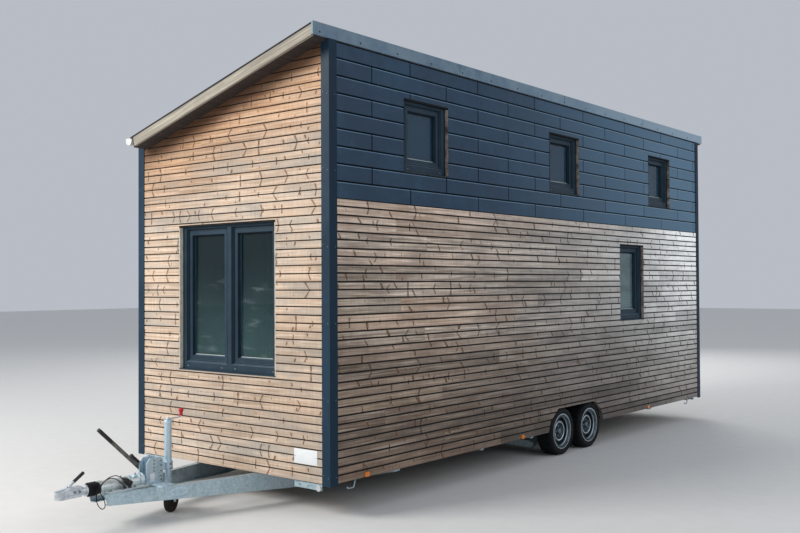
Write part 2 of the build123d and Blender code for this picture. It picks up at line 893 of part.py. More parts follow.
member_starts = [cross_member_start] + [axle_middle + offset for offset in axle_member_offsets]
member_starts += [body_length - inset for inset in cross_member_rear_insets]
with BuildPart() as cross_members:
    for start in member_starts:
        with BuildSketch(Plane.XY.offset(rail_top)):
            with Locations((0, front_y + start + cross_member_length / 2)):
                Rectangle(2 * outrigger_x, cross_member_length)
        extrude(amount=outrigger_height)
    with BuildSketch(across(front_y + bulkhead_start)):
        with BuildLine():
            Polyline(
                (-outrigger_x, skirt_height),
                (-outrigger_x, rail_top),
                (-rail_x - rail_width, skirt_height - beam_depth),
                (rail_x + rail_width, skirt_height - beam_depth),
                (outrigger_x, rail_top),
                (outrigger_x, skirt_height),
                close=True,
            )
        make_face()
    extrude(amount=-bulkhead_length)
cross_members.part.label = "cross_members"
export_step(cross_members.part, "parts/cross_members.step")

beam_heading = radians(90) - atan2(beam_spread, 1)
beam_direction = (cos(beam_heading), sin(beam_heading), 0)
beam_stretch = hypot(beam_spread, 1)
beam_plane = Plane(
    origin=(beam_tip_x, front_y - beam_tip_ahead, skirt_height),
    x_dir=beam_direction,
    z_dir=(sin(beam_heading), -cos(beam_heading), 0),
)
beam_length = (beam_tip_ahead + bulkhead_start) * beam_stretch
beam_bend = (beam_tip_ahead + beam_deep_at) * beam_stretch
with BuildPart() as drawbar_beams:
    with BuildSketch(beam_plane):
        with BuildLine():
            Polyline(
                (0, 0),
                (30, -beam_tip_depth),
                (beam_bend, -beam_depth),
                (beam_length + beam_flange, -beam_depth),
                (beam_length + beam_flange, 0),
                close=True,
            )
        make_face()
    extrude(amount=-beam_flange)
    with BuildSketch(beam_plane.offset(-beam_sheet)):
        with BuildLine():
            Polyline(
                (-10, -beam_sheet),
                (-10, -beam_tip_depth + beam_sheet),
                (30, -beam_tip_depth + beam_sheet),
                (beam_bend, -beam_depth + beam_sheet),
                (beam_length + 2 * beam_flange, -beam_depth + beam_sheet),
                (beam_length + 2 * beam_flange, -beam_sheet),
                close=True,
            )
        make_face()
    extrude(amount=-beam_flange, mode=Mode.SUBTRACT)
    with BuildSketch(Plane.XY.offset(skirt_height)):
        with Locations((rail_x, front_y + bulkhead_start + beam_flange)):
            Rectangle(2 * rail_x, 2 * beam_flange)
    extrude(amount=-2 * beam_depth, both=True, mode=Mode.SUBTRACT)
    mirror(about=Plane.YZ)
drawbar_beams.part.label = "drawbar_beams"
export_step(drawbar_beams.part, "parts/drawbar_beams.step")

# Corner brackets and lashing loops under the skirt
bracket_inner_inset = 415
bracket_outer_inset = 100
bracket_inner_x = half_width - bracket_inner_inset
bracket_outer_x = half_width - bracket_outer_inset
bracket_hole_spacing = 90
bracket_drop = 50
bracket_depth = 70
bracket_sheet = 4
bracket_hole_radius = 6
with BuildPart() as corner_brackets:
    for end in (-1, 1):
        face_y = middle_y + end * (body_length / 2 - trim_sheet - 3)
        bracket_middle_x = (bracket_inner_x + bracket_outer_x) / 2
        with BuildSketch(along(bracket_inner_x)):
            with BuildLine():
                Polyline(
                    (face_y, skirt_height),
                    (face_y, skirt_height - bracket_drop),
                    (face_y - end * bracket_sheet, skirt_height - bracket_drop),
                    (face_y - end * bracket_sheet, skirt_height - bracket_sheet),
                    (face_y - end * bracket_depth, skirt_height - bracket_sheet),
                    (face_y - end * bracket_depth, skirt_height),
                    close=True,
                )
            make_face()
        extrude(amount=bracket_outer_x - bracket_inner_x)
        with BuildSketch(across(face_y)):
            with Locations(
                (bracket_middle_x - bracket_hole_spacing, skirt_height - bracket_drop / 2),
                (bracket_middle_x, skirt_height - bracket_drop / 2),
            ):
                Circle(bracket_hole_radius)
        extrude(amount=2 * bracket_sheet, both=True, mode=Mode.SUBTRACT)
    mirror(about=Plane.YZ)
corner_brackets.part.label = "corner_brackets"
export_step(corner_brackets.part, "parts/corner_brackets.step")

loop_inset = 80
loop_end_inset = 270
loop_x = half_width - loop_inset
loop_radius = 6
loop_width = 120
loop_drop = 75
loop_bend = 18
loop_starts = (loop_end_inset, body_length - loop_end_inset - loop_width)
with BuildPart() as lashing_loops:
    for start in loop_starts:
        loop_y = front_y + start
        with BuildLine(along(loop_x)) as loop_path:
            FilletPolyline(
                (loop_y, skirt_height),
                (loop_y + loop_width / 5, skirt_height - loop_drop),
                (loop_y + loop_width * 4 / 5, skirt_height - loop_drop),
                (loop_y + loop_width, skirt_height),
                radius=loop_bend,
            )
        with BuildSketch(Plane(origin=loop_path.line @ 0, z_dir=loop_path.line % 0)) as loop_section:
            Circle(loop_radius)
        sweep(loop_section.sketch, path=loop_path.line)
    with BuildSketch(Plane.XY.offset(skirt_height)):
        with Locations((loop_x, middle_y)):
            Rectangle(10 * loop_radius, 2 * body_length)
    extrude(amount=10 * loop_radius, mode=Mode.SUBTRACT)
    mirror(about=Plane.YZ)
lashing_loops.part.label = "lashing_loops"
export_step(lashing_loops.part, "parts/lashing_loops.step")

# Lamps
front_marker_start = 445
middle_marker_ahead = 1173
rear_marker_start = 5900
marker_starts = (front_marker_start, axle_middle - middle_marker_ahead, rear_marker_start)
marker_height = 30
marker_length = 62
marker_tall = 42
marker_proud = 12
reflector_radius = 27
reflector_inset = 133
reflector_x = half_width - reflector_inset
with BuildPart() as marker_lamps:
    for start in marker_starts:
        with BuildSketch(along(clad_x)):
            with Locations((front_y + start, skirt_height + marker_height)):
                SlotOverall(marker_length, marker_tall)
        extrude(amount=marker_proud)
    with BuildSketch(across(front_y + trim_sheet + 3)):
        with Locations((reflector_x, skirt_height - reflector_radius - 3)):
            Circle(reflector_radius)
    extrude(amount=10)
    mirror(about=Plane.YZ)
marker_lamps.part.label = "marker_lamps"
export_step(marker_lamps.part, "parts/marker_lamps.step")

rear_lamp_inset = 235
rear_lamp_x = half_width - rear_lamp_inset
rear_lamp_width = 240
rear_lamp_tall = 100
rear_lamp_depth = 45
with BuildPart() as rear_lamps:
    with BuildSketch(across(rear_y - trim_sheet)):
        with Locations((rear_lamp_x, skirt_height + rear_lamp_tall / 2 + marker_height)):
            RectangleRounded(rear_lamp_width, rear_lamp_tall, 14)
    extrude(amount=-rear_lamp_depth)
    mirror(about=Plane.YZ)
rear_lamps.part.label = "rear_lamps"
export_step(rear_lamps.part, "parts/rear_lamps.step")

# Trailer cable: from a gland on the housing's base, down in a loop before the beams, to the parked plug.
# Each point is across the house, ahead of the front wall, above the ground.
cable_radius = 3.5
cable_route = [
    (82, 1096, 306),
    (82, 1122, 342),
    (76, 1180, 389),
    (74, 1236, 396),
    (74, 1290, 368),
    (74, 1334, 318),
    (80, 1352, 258),
    (104, 1350, 206),
    (142, 1336, 178),
    (168, 1324, 206),
    (148, 1324, 252),
    (112, 1334, 294),
    (98, 1324, 352),
    (96, 1270, 398),
    (92, 1206, 414),
]
cable_end = (80, 1115, 377)
cable_lead_in = 43
plug_slope = 36
gland_radius = 8
gland_length = 16
plug_length = 78
plug_radius = 23
holder_radius = 26
holder_thickness = 14
holder_post_width = 30
holder_post_thickness = 10
holder_post_sink = 2
plug_axis = Vector(0, cos(radians(plug_slope)), -sin(radians(plug_slope)))
plug_start = Vector(cable_end[0], front_y - cable_end[1], cable_end[2])
cable_points = [Vector(x, front_y - ahead, z) for x, ahead, z in cable_route]
cable_points += [plug_start - plug_axis * cable_lead_in, plug_start]

# Overrun housing on the beams, with the bore of the draw tube
base_front_ahead = 1250
base_rear_ahead = 876
base_thickness = 12
base_half_width = 104
collar_length = 40
bore_rear_ahead = 970
housing_middle_y = front_y - (base_front_ahead + base_rear_ahead) / 2
with BuildPart() as overrun_housing:
    with BuildSketch(Plane.XY.offset(skirt_height)):
        with Locations((0, housing_middle_y)):
            RectangleRounded(2 * base_half_width, base_front_ahead - base_rear_ahead, 12)
    extrude(amount=base_thickness)
    with BuildSketch(across(front_y - housing_front_ahead)):
        with Locations((0, tube_height)):
            Circle(housing_radius)
        with Locations((0, skirt_height - housing_radius)):
            Rectangle(4 * housing_radius, 2 * housing_radius, mode=Mode.SUBTRACT)
    extrude(amount=housing_rear_ahead - housing_front_ahead)
    with BuildSketch(across(front_y - flange_front_ahead)):
        with Locations((0, tube_height)):
            Circle(bellows_radius)
    extrude(amount=-flange_thickness)
    with BuildSketch(across(front_y - housing_rear_ahead - collar_length)):
        with Locations((0, tube_height)):
            Circle(housing_radius + 6)
        with Locations((0, skirt_height - housing_radius)):
            Rectangle(4 * housing_radius, 2 * housing_radius, mode=Mode.SUBTRACT)
    extrude(amount=-collar_length)
    with BuildSketch(across(front_y - flange_front_ahead - 1)):
        with Locations((0, tube_height)):
            Circle(draw_tube_radius + slide_gap)
    extrude(amount=bore_rear_ahead - flange_front_ahead - 1, mode=Mode.SUBTRACT)
    gland_axis = (cable_points[1] - cable_points[0]).normalized()
    with BuildSketch(Plane(origin=cable_points[0], z_dir=gland_axis)):
        Circle(gland_radius)
    extrude(amount=-gland_length)
overrun_housing.part.label = "overrun_housing"
export_step(overrun_housing.part, "parts/overrun_housing.step")

# Plug, parked in its holder, and its cable
plug_plane = Plane(origin=plug_start, x_dir=plug_axis, z_dir=(1, 0, 0))
with BuildPart() as trailer_plug:
    with BuildSketch(plug_plane):
        with BuildLine():
            Polyline(
                (0, 0),
                (0, 7),
                (16, 10),
                (16, plug_radius - 5),
                (22, plug_radius - 3),
                (44, plug_radius - 3),
                (44, plug_radius),
                (plug_length, plug_radius),
                (plug_length, 0),
                close=True,
            )
        make_face()
    revolve(axis=Axis(plug_plane.origin, plug_axis))
trailer_plug.part.label = "trailer_plug"
export_step(trailer_plug.part, "parts/trailer_plug.step")

holder_face = plug_plane.from_local_coords((plug_length, 0, 0))
holder_middle = plug_plane.from_local_coords((plug_length + holder_thickness / 2, 0, 0))
ledge_top = skirt_height + base_thickness
with BuildPart() as plug_holder:
    with BuildSketch(Plane(origin=holder_face, z_dir=plug_axis)):
        Circle(holder_radius)
    extrude(amount=holder_thickness)
    with BuildSketch(Plane.XY.offset(ledge_top)):
        with Locations((holder_middle.X, holder_middle.Y)):
            Rectangle(holder_post_width, holder_post_thickness)
    extrude(amount=holder_middle.Z - holder_post_sink - ledge_top)
plug_holder.part.label = "plug_holder"
export_step(plug_holder.part, "parts/plug_holder.step")

cable_runs = [b - a for a, b in zip(cable_points, cable_points[1:])]
cable_radii = []
for before, after in zip(cable_runs, cable_runs[1:]):
    half_turn = radians(before.get_angle(after)) / 2
    cable_radii.append(0.45 * min(before.length, after.length) / tan(half_turn))
with BuildPart() as plug_cable:
    with BuildLine() as cable_path:
        FilletPolyline(*cable_points, radius=cable_radii)
    with BuildSketch(Plane(origin=cable_path.line @ 0, z_dir=cable_path.line % 0)):
        Circle(cable_radius)
    sweep(path=cable_path.line)
cable_length = cable_path.wires()[0].length
cable_volume = cable_length * pi * cable_radius**2
print("cable length", round(cable_length), "volume ratio", round(plug_cable.part.volume / cable_volume, 4))
plug_cable.part.label = "plug_cable"
export_step(plug_cable.part, "parts/plug_cable.step")

# Bellows between the coupling head and the housing
fold_count = 5
fold_depth = 12
bellows_wall = 4
bellows_length = bellows_front_ahead - bellows_rear_ahead - 2 * seat_gap
fold_pitch = bellows_length / fold_count
bellows_origin = (0, front_y - bellows_front_ahead + seat_gap, tube_height)
with BuildPart() as bellows:
    with BuildSketch(Plane(origin=bellows_origin, x_dir=(0, 1, 0), z_dir=(1, 0, 0))):
        with BuildLine():
            outline = [(0, bellows_radius - fold_depth - bellows_wall), (0, bellows_radius - fold_depth)]
            for i in range(fold_count):
                outline.append(((i + 0.5) * fold_pitch, bellows_radius))
                outline.append(((i + 1) * fold_pitch, bellows_radius - fold_depth))
            outline.append((bellows_length, bellows_radius - fold_depth - bellows_wall))
            for i in reversed(range(fold_count)):
                outline.append(((i + 0.5) * fold_pitch, bellows_radius - bellows_wall))
                if i:
                    outline.append((i * fold_pitch, bellows_radius - fold_depth - bellows_wall))
            Polyline(*outline, close=True)
        make_face()
    revolve(axis=Axis(bellows_origin, (0, 1, 0)))
bellows.part.label = "bellows"
export_step(bellows.part, "parts/bellows.step")

# Coupling head with the draw tube
nose_ahead = hitch_reach
nose_centre_ahead = nose_ahead - head_half_width
head_bottom = skirt_height + 4
head_top = skirt_height + 84
head_rear_ahead = 1440
socket_height = head_bottom + 26
tube_rear_ahead = 1030
handle_half_width = 9
handle_hub_radius = 9
handle_pin_radius = 4
ear_gap = 0.5
ear_thickness = 6
ear_recess = 5
with BuildPart() as coupling_head:
    with BuildSketch(Plane.XY.offset(head_bottom)):
        with Locations((0, front_y - nose_centre_ahead)):
            Circle(head_half_width)
        with Locations((0, front_y - (nose_centre_ahead + head_rear_ahead) / 2)):
            Trapezoid(2 * head_half_width, nose_centre_ahead - head_rear_ahead, 87)
    extrude(amount=head_top - head_bottom)
    with BuildSketch(along(-head_half_width)):
        with BuildLine():
            Polyline(
                (front_y - nose_ahead, head_bottom + 62),
                (front_y - nose_ahead + 45, head_bottom + 62),
                (front_y - handle_pivot_ahead, head_top),
                (front_y - handle_pivot_ahead, head_top + 20),
                (front_y - nose_ahead, head_top + 20),
                close=True,
            )
        make_face()
    extrude(amount=2 * head_half_width, mode=Mode.SUBTRACT)
    with BuildSketch(across(front_y - head_rear_ahead - 14)):
        with Locations((0, tube_height)):
            Circle(draw_tube_radius + 8)
    extrude(amount=-(head_rear_ahead + 14 - bellows_front_ahead - 12))
    with BuildSketch(across(front_y - head_rear_ahead)):
        with Locations((0, tube_height)):
            Circle(draw_tube_radius)
    extrude(amount=tube_rear_ahead - head_rear_ahead)
    with BuildSketch(across(front_y - bellows_front_ahead - 12)):
        with Locations((0, tube_height)):
            Circle(bellows_radius - fold_depth)
    extrude(amount=-12)
    with BuildSketch(along(-handle_half_width - ear_gap)):
        with Locations((front_y - handle_pivot_ahead, handle_pivot_height)):
            Circle(handle_hub_radius + ear_recess)
    extrude(amount=2 * (handle_half_width + ear_gap), mode=Mode.SUBTRACT)
    for ear_x in (-handle_half_width - ear_gap - ear_thickness, handle_half_width + ear_gap):
        with BuildSketch(along(ear_x)):
            with Locations((front_y - handle_pivot_ahead, handle_pivot_height)):
                Circle(handle_hub_radius + 1)
            with Locations((front_y - handle_pivot_ahead, handle_pivot_height - handle_hub_radius)):
                Rectangle(2 * handle_hub_radius + 2, 2 * handle_hub_radius)
        extrude(amount=ear_thickness)
    with BuildSketch(along(-handle_half_width - ear_gap)):
        with Locations((front_y - handle_pivot_ahead, handle_pivot_height)):
            Circle(handle_pin_radius)
    extrude(amount=2 * (handle_half_width + ear_gap))
    with Locations((0, front_y - nose_ahead + ball_socket_back, socket_height)):
        Sphere(ball_socket_radius, mode=Mode.SUBTRACT)
    with BuildSketch(Plane.XY.offset(socket_height)):
        with Locations((0, front_y - nose_ahead + ball_socket_back)):
            Circle(ball_socket_radius)
    extrude(amount=-60, mode=Mode.SUBTRACT)
coupling_head.part.label = "coupling_head"
export_step(coupling_head.part, "parts/coupling_head.step")

# Coupling handle: a flat lever on the head's pin, with a round grip
handle_plane = Plane(
    origin=(0, front_y - handle_pivot_ahead, handle_pivot_height),
    x_dir=(0, cos(radians(handle_angle)), sin(radians(handle_angle))),
    z_dir=(1, 0, 0),
)
grip_from = 48
handle_grip_radius = 13
with BuildPart() as coupling_handle:
    with BuildSketch(handle_plane.offset(-handle_half_width)):
        with Locations((handle_length / 2 - handle_hub_radius, 0)):
            SlotOverall(handle_length, 2 * handle_hub_radius)
        Circle(handle_pin_radius + running_gap, mode=Mode.SUBTRACT)
    extrude(amount=2 * handle_half_width)
    grip_root = handle_plane.from_local_coords((grip_from, 0, 0))
    with BuildSketch(Plane(origin=grip_root, z_dir=handle_plane.x_dir)):
        Circle(handle_grip_radius)
    extrude(amount=handle_length - grip_from)
    fillet(coupling_handle.edges().filter_by(GeomType.CIRCLE).sort_by(Axis.Y)[-1], 5)
coupling_handle.part.label = "coupling_handle"
export_step(coupling_handle.part, "parts/coupling_handle.step")

# Handbrake lever: a flat bar with a grip, and the spring strut fixed along it
lever_plane = Plane(
    origin=(-lever_x, front_y - lever_pivot_ahead, lever_pivot_height),
    x_dir=(0, -cos(radians(lever_angle)), sin(radians(lever_angle))),
    z_dir=(1, 0, 0),
)
bar_width = 32
bar_thickness = 8
grip_length = 165
grip_radius = 16
strut_radius = 15
strut_length = 175
pin_radius = 9
with BuildPart() as handbrake_lever:
    with BuildSketch(lever_plane.offset(-bar_thickness / 2)):
        with Locations(((lever_length - grip_length) / 2 + 10, 0)):
            SlotOverall(lever_length - grip_length + 40, bar_width)
        Circle(pin_radius + 0.2, mode=Mode.SUBTRACT)
    extrude(amount=bar_thickness)
    grip_start = lever_plane.from_local_coords((lever_length - grip_length, 0, 0))
    with BuildSketch(Plane(origin=grip_start, z_dir=lever_plane.x_dir)):
        Circle(grip_radius)
    extrude(amount=grip_length)
    strut_start = lever_plane.from_local_coords((20, -bar_width / 2 - strut_radius + 4, 0))
    with BuildSketch(Plane(origin=strut_start, z_dir=lever_plane.x_dir)):
        Circle(strut_radius)
    extrude(amount=strut_length)
handbrake_lever.part.label = "handbrake_lever"
export_step(handbrake_lever.part, "parts/handbrake_lever.step")

# Jockey bracket: base plate on the beams, two slotted plates, lever pin and tube clamp
plate_front_ahead = 868
plate_rear_ahead = 706
plate_x = 50
plate_sheet = 6
plate_top_z = skirt_height + 208
jockey_base_thickness = 8
jockey_base_half = 225
clamp_wall = 9
clamp_bottom = skirt_height + 84
clamp_height = 66
slot_width = 12
plate_middle_y = front_y - (plate_front_ahead + plate_rear_ahead) / 2
plate_length = plate_front_ahead - plate_rear_ahead
with BuildPart() as jockey_bracket:
    with BuildSketch(Plane.XY.offset(skirt_height)):
        with Locations((0, plate_middle_y)):
            Rectangle(2 * jockey_base_half, plate_length - 40)
    extrude(amount=jockey_base_thickness)
    with BuildSketch(along(plate_x - plate_sheet)):
        with BuildLine():
            Polyline(
                (plate_middle_y - plate_length / 2, skirt_height + jockey_base_thickness),
                (plate_middle_y - plate_length / 2, plate_top_z - 40),
                (plate_middle_y - plate_length / 2 + 34, plate_top_z),
                (plate_middle_y + plate_length / 2 - 22, plate_top_z),
                (plate_middle_y + plate_length / 2, plate_top_z - 22),
                (plate_middle_y + plate_length / 2, skirt_height + jockey_base_thickness),
                close=True,
            )
        make_face()
        with Locations((plate_middle_y - 38, skirt_height + 135), (plate_middle_y + 38, skirt_height + 135)):
            SlotOverall(90, slot_width, rotation=90, mode=Mode.SUBTRACT)
    extrude(amount=plate_sheet)
    mirror(about=Plane.YZ)
    with BuildSketch(across(plate_middle_y + plate_length / 2 - plate_sheet)):
        with Locations((0, skirt_height + jockey_base_thickness + 85)):
            Rectangle(2 * plate_x, 170)
    extrude(amount=-plate_sheet)
    with BuildSketch(Plane.XY.offset(clamp_bottom)):
        with Locations((0, front_y - jockey_ahead)):
            Circle(outer_tube_radius + clamp_wall)
        with Locations((0, (front_y - jockey_ahead + plate_middle_y + plate_length / 2) / 2)):
            Rectangle(24, jockey_ahead - plate_rear_ahead, mode=Mode.ADD)
        with Locations((0, front_y - jockey_ahead)):
            Circle(outer_tube_radius + slide_gap, mode=Mode.SUBTRACT)
    extrude(amount=clamp_height)
    with BuildSketch(along(-plate_x)):
        with Locations((front_y - lever_pivot_ahead, lever_pivot_height)):
            Circle(pin_radius)
    extrude(amount=-(lever_x - plate_x + bar_thickness))
jockey_bracket.part.label = "jockey_bracket"
export_step(jockey_bracket.part, "parts/jockey_bracket.step")

# Jockey wheel parts
jockey_y = front_y - jockey_ahead
with BuildPart() as jockey_tube:
    with BuildSketch(Plane.XY.offset(outer_tube_bottom)):
        with Locations((0, jockey_y)):
            Circle(outer_tube_radius)
            Circle(outer_tube_radius - outer_tube_wall, mode=Mode.SUBTRACT)
    extrude(amount=outer_tube_top - outer_tube_bottom)
    with BuildSketch(Plane.XY.offset(outer_tube_top)):
        with Locations((0, jockey_y)):
            Circle(outer_tube_radius + 3)
            Circle(8 + slide_gap, mode=Mode.SUBTRACT)
    extrude(amount=10)
jockey_tube.part.label = "jockey_tube"
export_step(jockey_tube.part, "parts/jockey_tube.step")

leg_top = outer_tube_bottom + leg_inside
leg_radius = outer_tube_radius - outer_tube_wall - slide_gap
fork_gap = 3
crown_thickness = 8
with BuildPart() as jockey_leg:
    with BuildSketch(Plane.XY.offset(fork_crown_height + crown_thickness + slide_gap)):
        with Locations((0, jockey_y)):
            Circle(leg_radius)
    extrude(amount=leg_top - fork_crown_height - crown_thickness - slide_gap)
    with BuildSketch(Plane.XY.offset(leg_top - 110)):
        with Locations((0, jockey_y)):
            Circle(leg_radius - leg_wall)
    extrude(amount=110, mode=Mode.SUBTRACT)
    with BuildSketch(Plane.XY.offset(fork_crown_height - 12)):
        with Locations((0, jockey_y)):
            Circle(9)
    extrude(amount=leg_top - 110 - fork_crown_height)
jockey_leg.part.label = "jockey_leg"
export_step(jockey_leg.part, "parts/jockey_leg.step")

fork_arm_x = jockey_width / 2 + fork_gap + 3
fork_sheet = 6
axle_y = jockey_y + jockey_trail
tube_axis = Axis((0, jockey_y, 0), (0, 0, 1))
with BuildPart() as straight_fork:
    with BuildSketch(Plane.XY.offset(fork_crown_height)):
        with Locations((0, jockey_y + 12)):
            RectangleRounded(2 * (fork_arm_x + fork_sheet), 86, 10)
        with Locations((0, jockey_y)):
            Circle(9 + slide_gap, mode=Mode.SUBTRACT)
    extrude(amount=crown_thickness)
    with BuildSketch(along(fork_arm_x)):
        with BuildLine():
            Polyline(
                (jockey_y - 26, fork_crown_height),
                (jockey_y + 50, fork_crown_height),
                (axle_y + 22, jockey_radius + 10),
                (axle_y + 14, jockey_radius - 18),
                (axle_y - 14, jockey_radius - 18),
                (axle_y - 26, jockey_radius + 10),
                close=True,
            )
        make_face()
    extrude(amount=fork_sheet)
    mirror(about=Plane.YZ)
    with BuildSketch(along(-fork_arm_x - fork_sheet)):
        with Locations((axle_y, jockey_radius)):
            Circle(8)
    extrude(amount=2 * (fork_arm_x + fork_sheet))
jockey_fork = straight_fork.part.rotate(tube_axis, jockey_turn)
jockey_fork.label = "jockey_fork"
export_step(jockey_fork, "parts/jockey_fork.step")

with BuildPart() as straight_wheel:
    wheel_centre = (0, axle_y, jockey_radius)
    half = jockey_width / 2
    with BuildSketch(Plane(origin=wheel_centre, x_dir=(1, 0, 0), z_dir=(0, -1, 0))):
        with BuildLine():
            Polyline(
                (-half - fork_gap + 0.5, 8 + 2 * running_gap),
                (-half - fork_gap + 0.5, 20),
                (-half + 10, 24),
                (-half + 10, 58),
                (-half, 66),
                (-half, 86),
                (-half + 7, jockey_radius),
                (half - 7, jockey_radius),
                (half, 86),
                (half, 66),
                (half - 10, 58),
                (half - 10, 24),
                (half + fork_gap - 0.5, 20),
                (half + fork_gap - 0.5, 8 + 2 * running_gap),
                close=True,
            )
        make_face()
    revolve(axis=Axis(wheel_centre, (1, 0, 0)))
jockey_wheel = straight_wheel.part.rotate(tube_axis, jockey_turn)
jockey_wheel.label = "jockey_wheel"
export_step(jockey_wheel, "parts/jockey_wheel.step")

knob_height = 66
arm_height = outer_tube_top + 10 + slide_gap
with BuildPart() as jockey_crank:
    with BuildSketch(Plane.XY.offset(outer_tube_top - 60)):
        with Locations((0, jockey_y)):
            Circle(8)
    extrude(amount=arm_height - outer_tube_top + 60)
    with BuildSketch(Plane.XY.offset(arm_height)):
        with Locations((0, jockey_y)):
            Circle(14)
    extrude(amount=14)
    with BuildSketch(across(jockey_y)):
        with Locations((0, arm_height + 8)):
            Circle(6)
    extrude(amount=-crank_reach - 6)
    with BuildSketch(Plane.XY.offset(arm_height + 8)):
        with Locations((0, jockey_y + crank_reach)):
            Circle(6)
    extrude(amount=14)
    with BuildSketch(Plane.XY.offset(arm_height + 20)):
        with Locations((0, jockey_y + crank_reach)):
            Circle(15)
    with BuildSketch(Plane.XY.offset(arm_height + 20 + knob_height)):
        with Locations((0, jockey_y + crank_reach)):
            Circle(22)
    loft()
jockey_crank.part.label = "jockey_crank"
export_step(jockey_crank.part, "parts/jockey_crank.step")
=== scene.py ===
import math
import random

import bmesh
import bpy
from mathutils import Matrix, Vector


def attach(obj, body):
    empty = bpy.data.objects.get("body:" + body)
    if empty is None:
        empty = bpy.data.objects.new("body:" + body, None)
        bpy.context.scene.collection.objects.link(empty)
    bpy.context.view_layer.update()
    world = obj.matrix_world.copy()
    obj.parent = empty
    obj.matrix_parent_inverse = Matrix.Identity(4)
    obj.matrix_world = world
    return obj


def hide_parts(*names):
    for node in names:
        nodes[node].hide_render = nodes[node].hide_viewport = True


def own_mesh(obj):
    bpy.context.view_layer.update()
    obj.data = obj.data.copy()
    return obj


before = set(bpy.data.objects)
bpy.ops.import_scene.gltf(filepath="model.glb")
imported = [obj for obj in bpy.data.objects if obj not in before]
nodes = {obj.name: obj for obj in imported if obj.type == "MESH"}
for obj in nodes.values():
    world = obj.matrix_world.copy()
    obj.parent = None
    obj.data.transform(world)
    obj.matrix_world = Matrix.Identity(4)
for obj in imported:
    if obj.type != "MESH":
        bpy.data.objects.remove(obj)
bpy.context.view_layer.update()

# Metres, in the frame of the CAD model: X right, Y from the hitch to the rear, Z up
X, Y, Z = Vector((1, 0, 0)), Vector((0, 1, 0)), Vector((0, 0, 1))
FRONT = -3.057
REAR = 4.557
HALF = 1.275
FACE = 1.270
CORE = 1.230
WALL_OUT = 0.045
SKIRT = 0.280
TIMBER_TOP = 2.601
SLOPE = math.tan(math.radians(15.7))
SOFFIT = 3.884
BEYOND = 9.0
WHEEL_RADIUS = 0.260
WHEEL_X = 1.1575
WHEEL_YS = (FRONT + 3.753, FRONT + 4.373)


def soffit(x):
    return SOFFIT - (HALF - x) * SLOPE


def soffit_x(z):
    return HALF - (SOFFIT - z) / SLOPE


def ahead(x, distance, z):
    """A point of the hitch, given in millimetres ahead of the front wall."""
    return Vector((x / 1000, FRONT - distance / 1000, z / 1000))


def add_object(name, data):
    obj = bpy.data.objects.new(name, data)
    bpy.context.scene.collection.objects.link(obj)
    return obj


# Camera at the photograph's angle
FOCAL_PIXELS, PHOTO_WIDTH, SENSOR = 953.6, 800, 36
yaw, pitch, roll = math.radians(39.22), math.radians(1.03), math.radians(-0.29)
look = Vector((-math.sin(yaw) * math.cos(pitch), math.cos(yaw) * math.cos(pitch), math.sin(pitch)))
level = Vector((math.cos(yaw), math.sin(yaw), 0))
above = level.cross(look)
cam_x = level * math.cos(roll) + above * math.sin(roll)
cam_y = above * math.cos(roll) - level * math.sin(roll)
camera_data = bpy.data.cameras.new("camera")
camera_data.sensor_width = SENSOR
camera_data.sensor_fit = "HORIZONTAL"
camera_data.lens = FOCAL_PIXELS / PHOTO_WIDTH * SENSOR
camera_data.clip_end = 200
camera = add_object("camera", camera_data)
turn = Matrix((cam_x, cam_y, -look)).transposed().to_4x4()
camera.matrix_world = Matrix.Translation((6.551, -8.627, 1.900)) @ turn
bpy.context.scene.camera = camera


# Shader helpers
class Value:
    """An output of a shader tree that takes part in sums as a number does."""

    def __init__(self, tree, socket):
        self.tree, self.socket = tree, socket

    def __add__(self, other):
        return self.tree.math("ADD", self, other)

    def __sub__(self, other):
        return self.tree.math("SUBTRACT", self, other)

    def __rsub__(self, other):
        return self.tree.math("SUBTRACT", other, self)

    def __mul__(self, other):
        return self.tree.math("MULTIPLY", self, other)

    def __truediv__(self, other):
        return self.tree.math("DIVIDE", self, other)

    def __gt__(self, other):
        return self.tree.math("GREATER_THAN", self, other)

    def __lt__(self, other):
        return self.tree.math("LESS_THAN", self, other)

    def __abs__(self):
        return self.tree.math("ABSOLUTE", self)


def lin(c):
    c = c / 255
    return c / 12.92 if c <= 0.04045 else ((c + 0.055) / 1.055) ** 2.4


def rgb(c):
    """A colour given as sRGB 0 to 255."""
    return (lin(c[0]), lin(c[1]), lin(c[2]), 1.0)


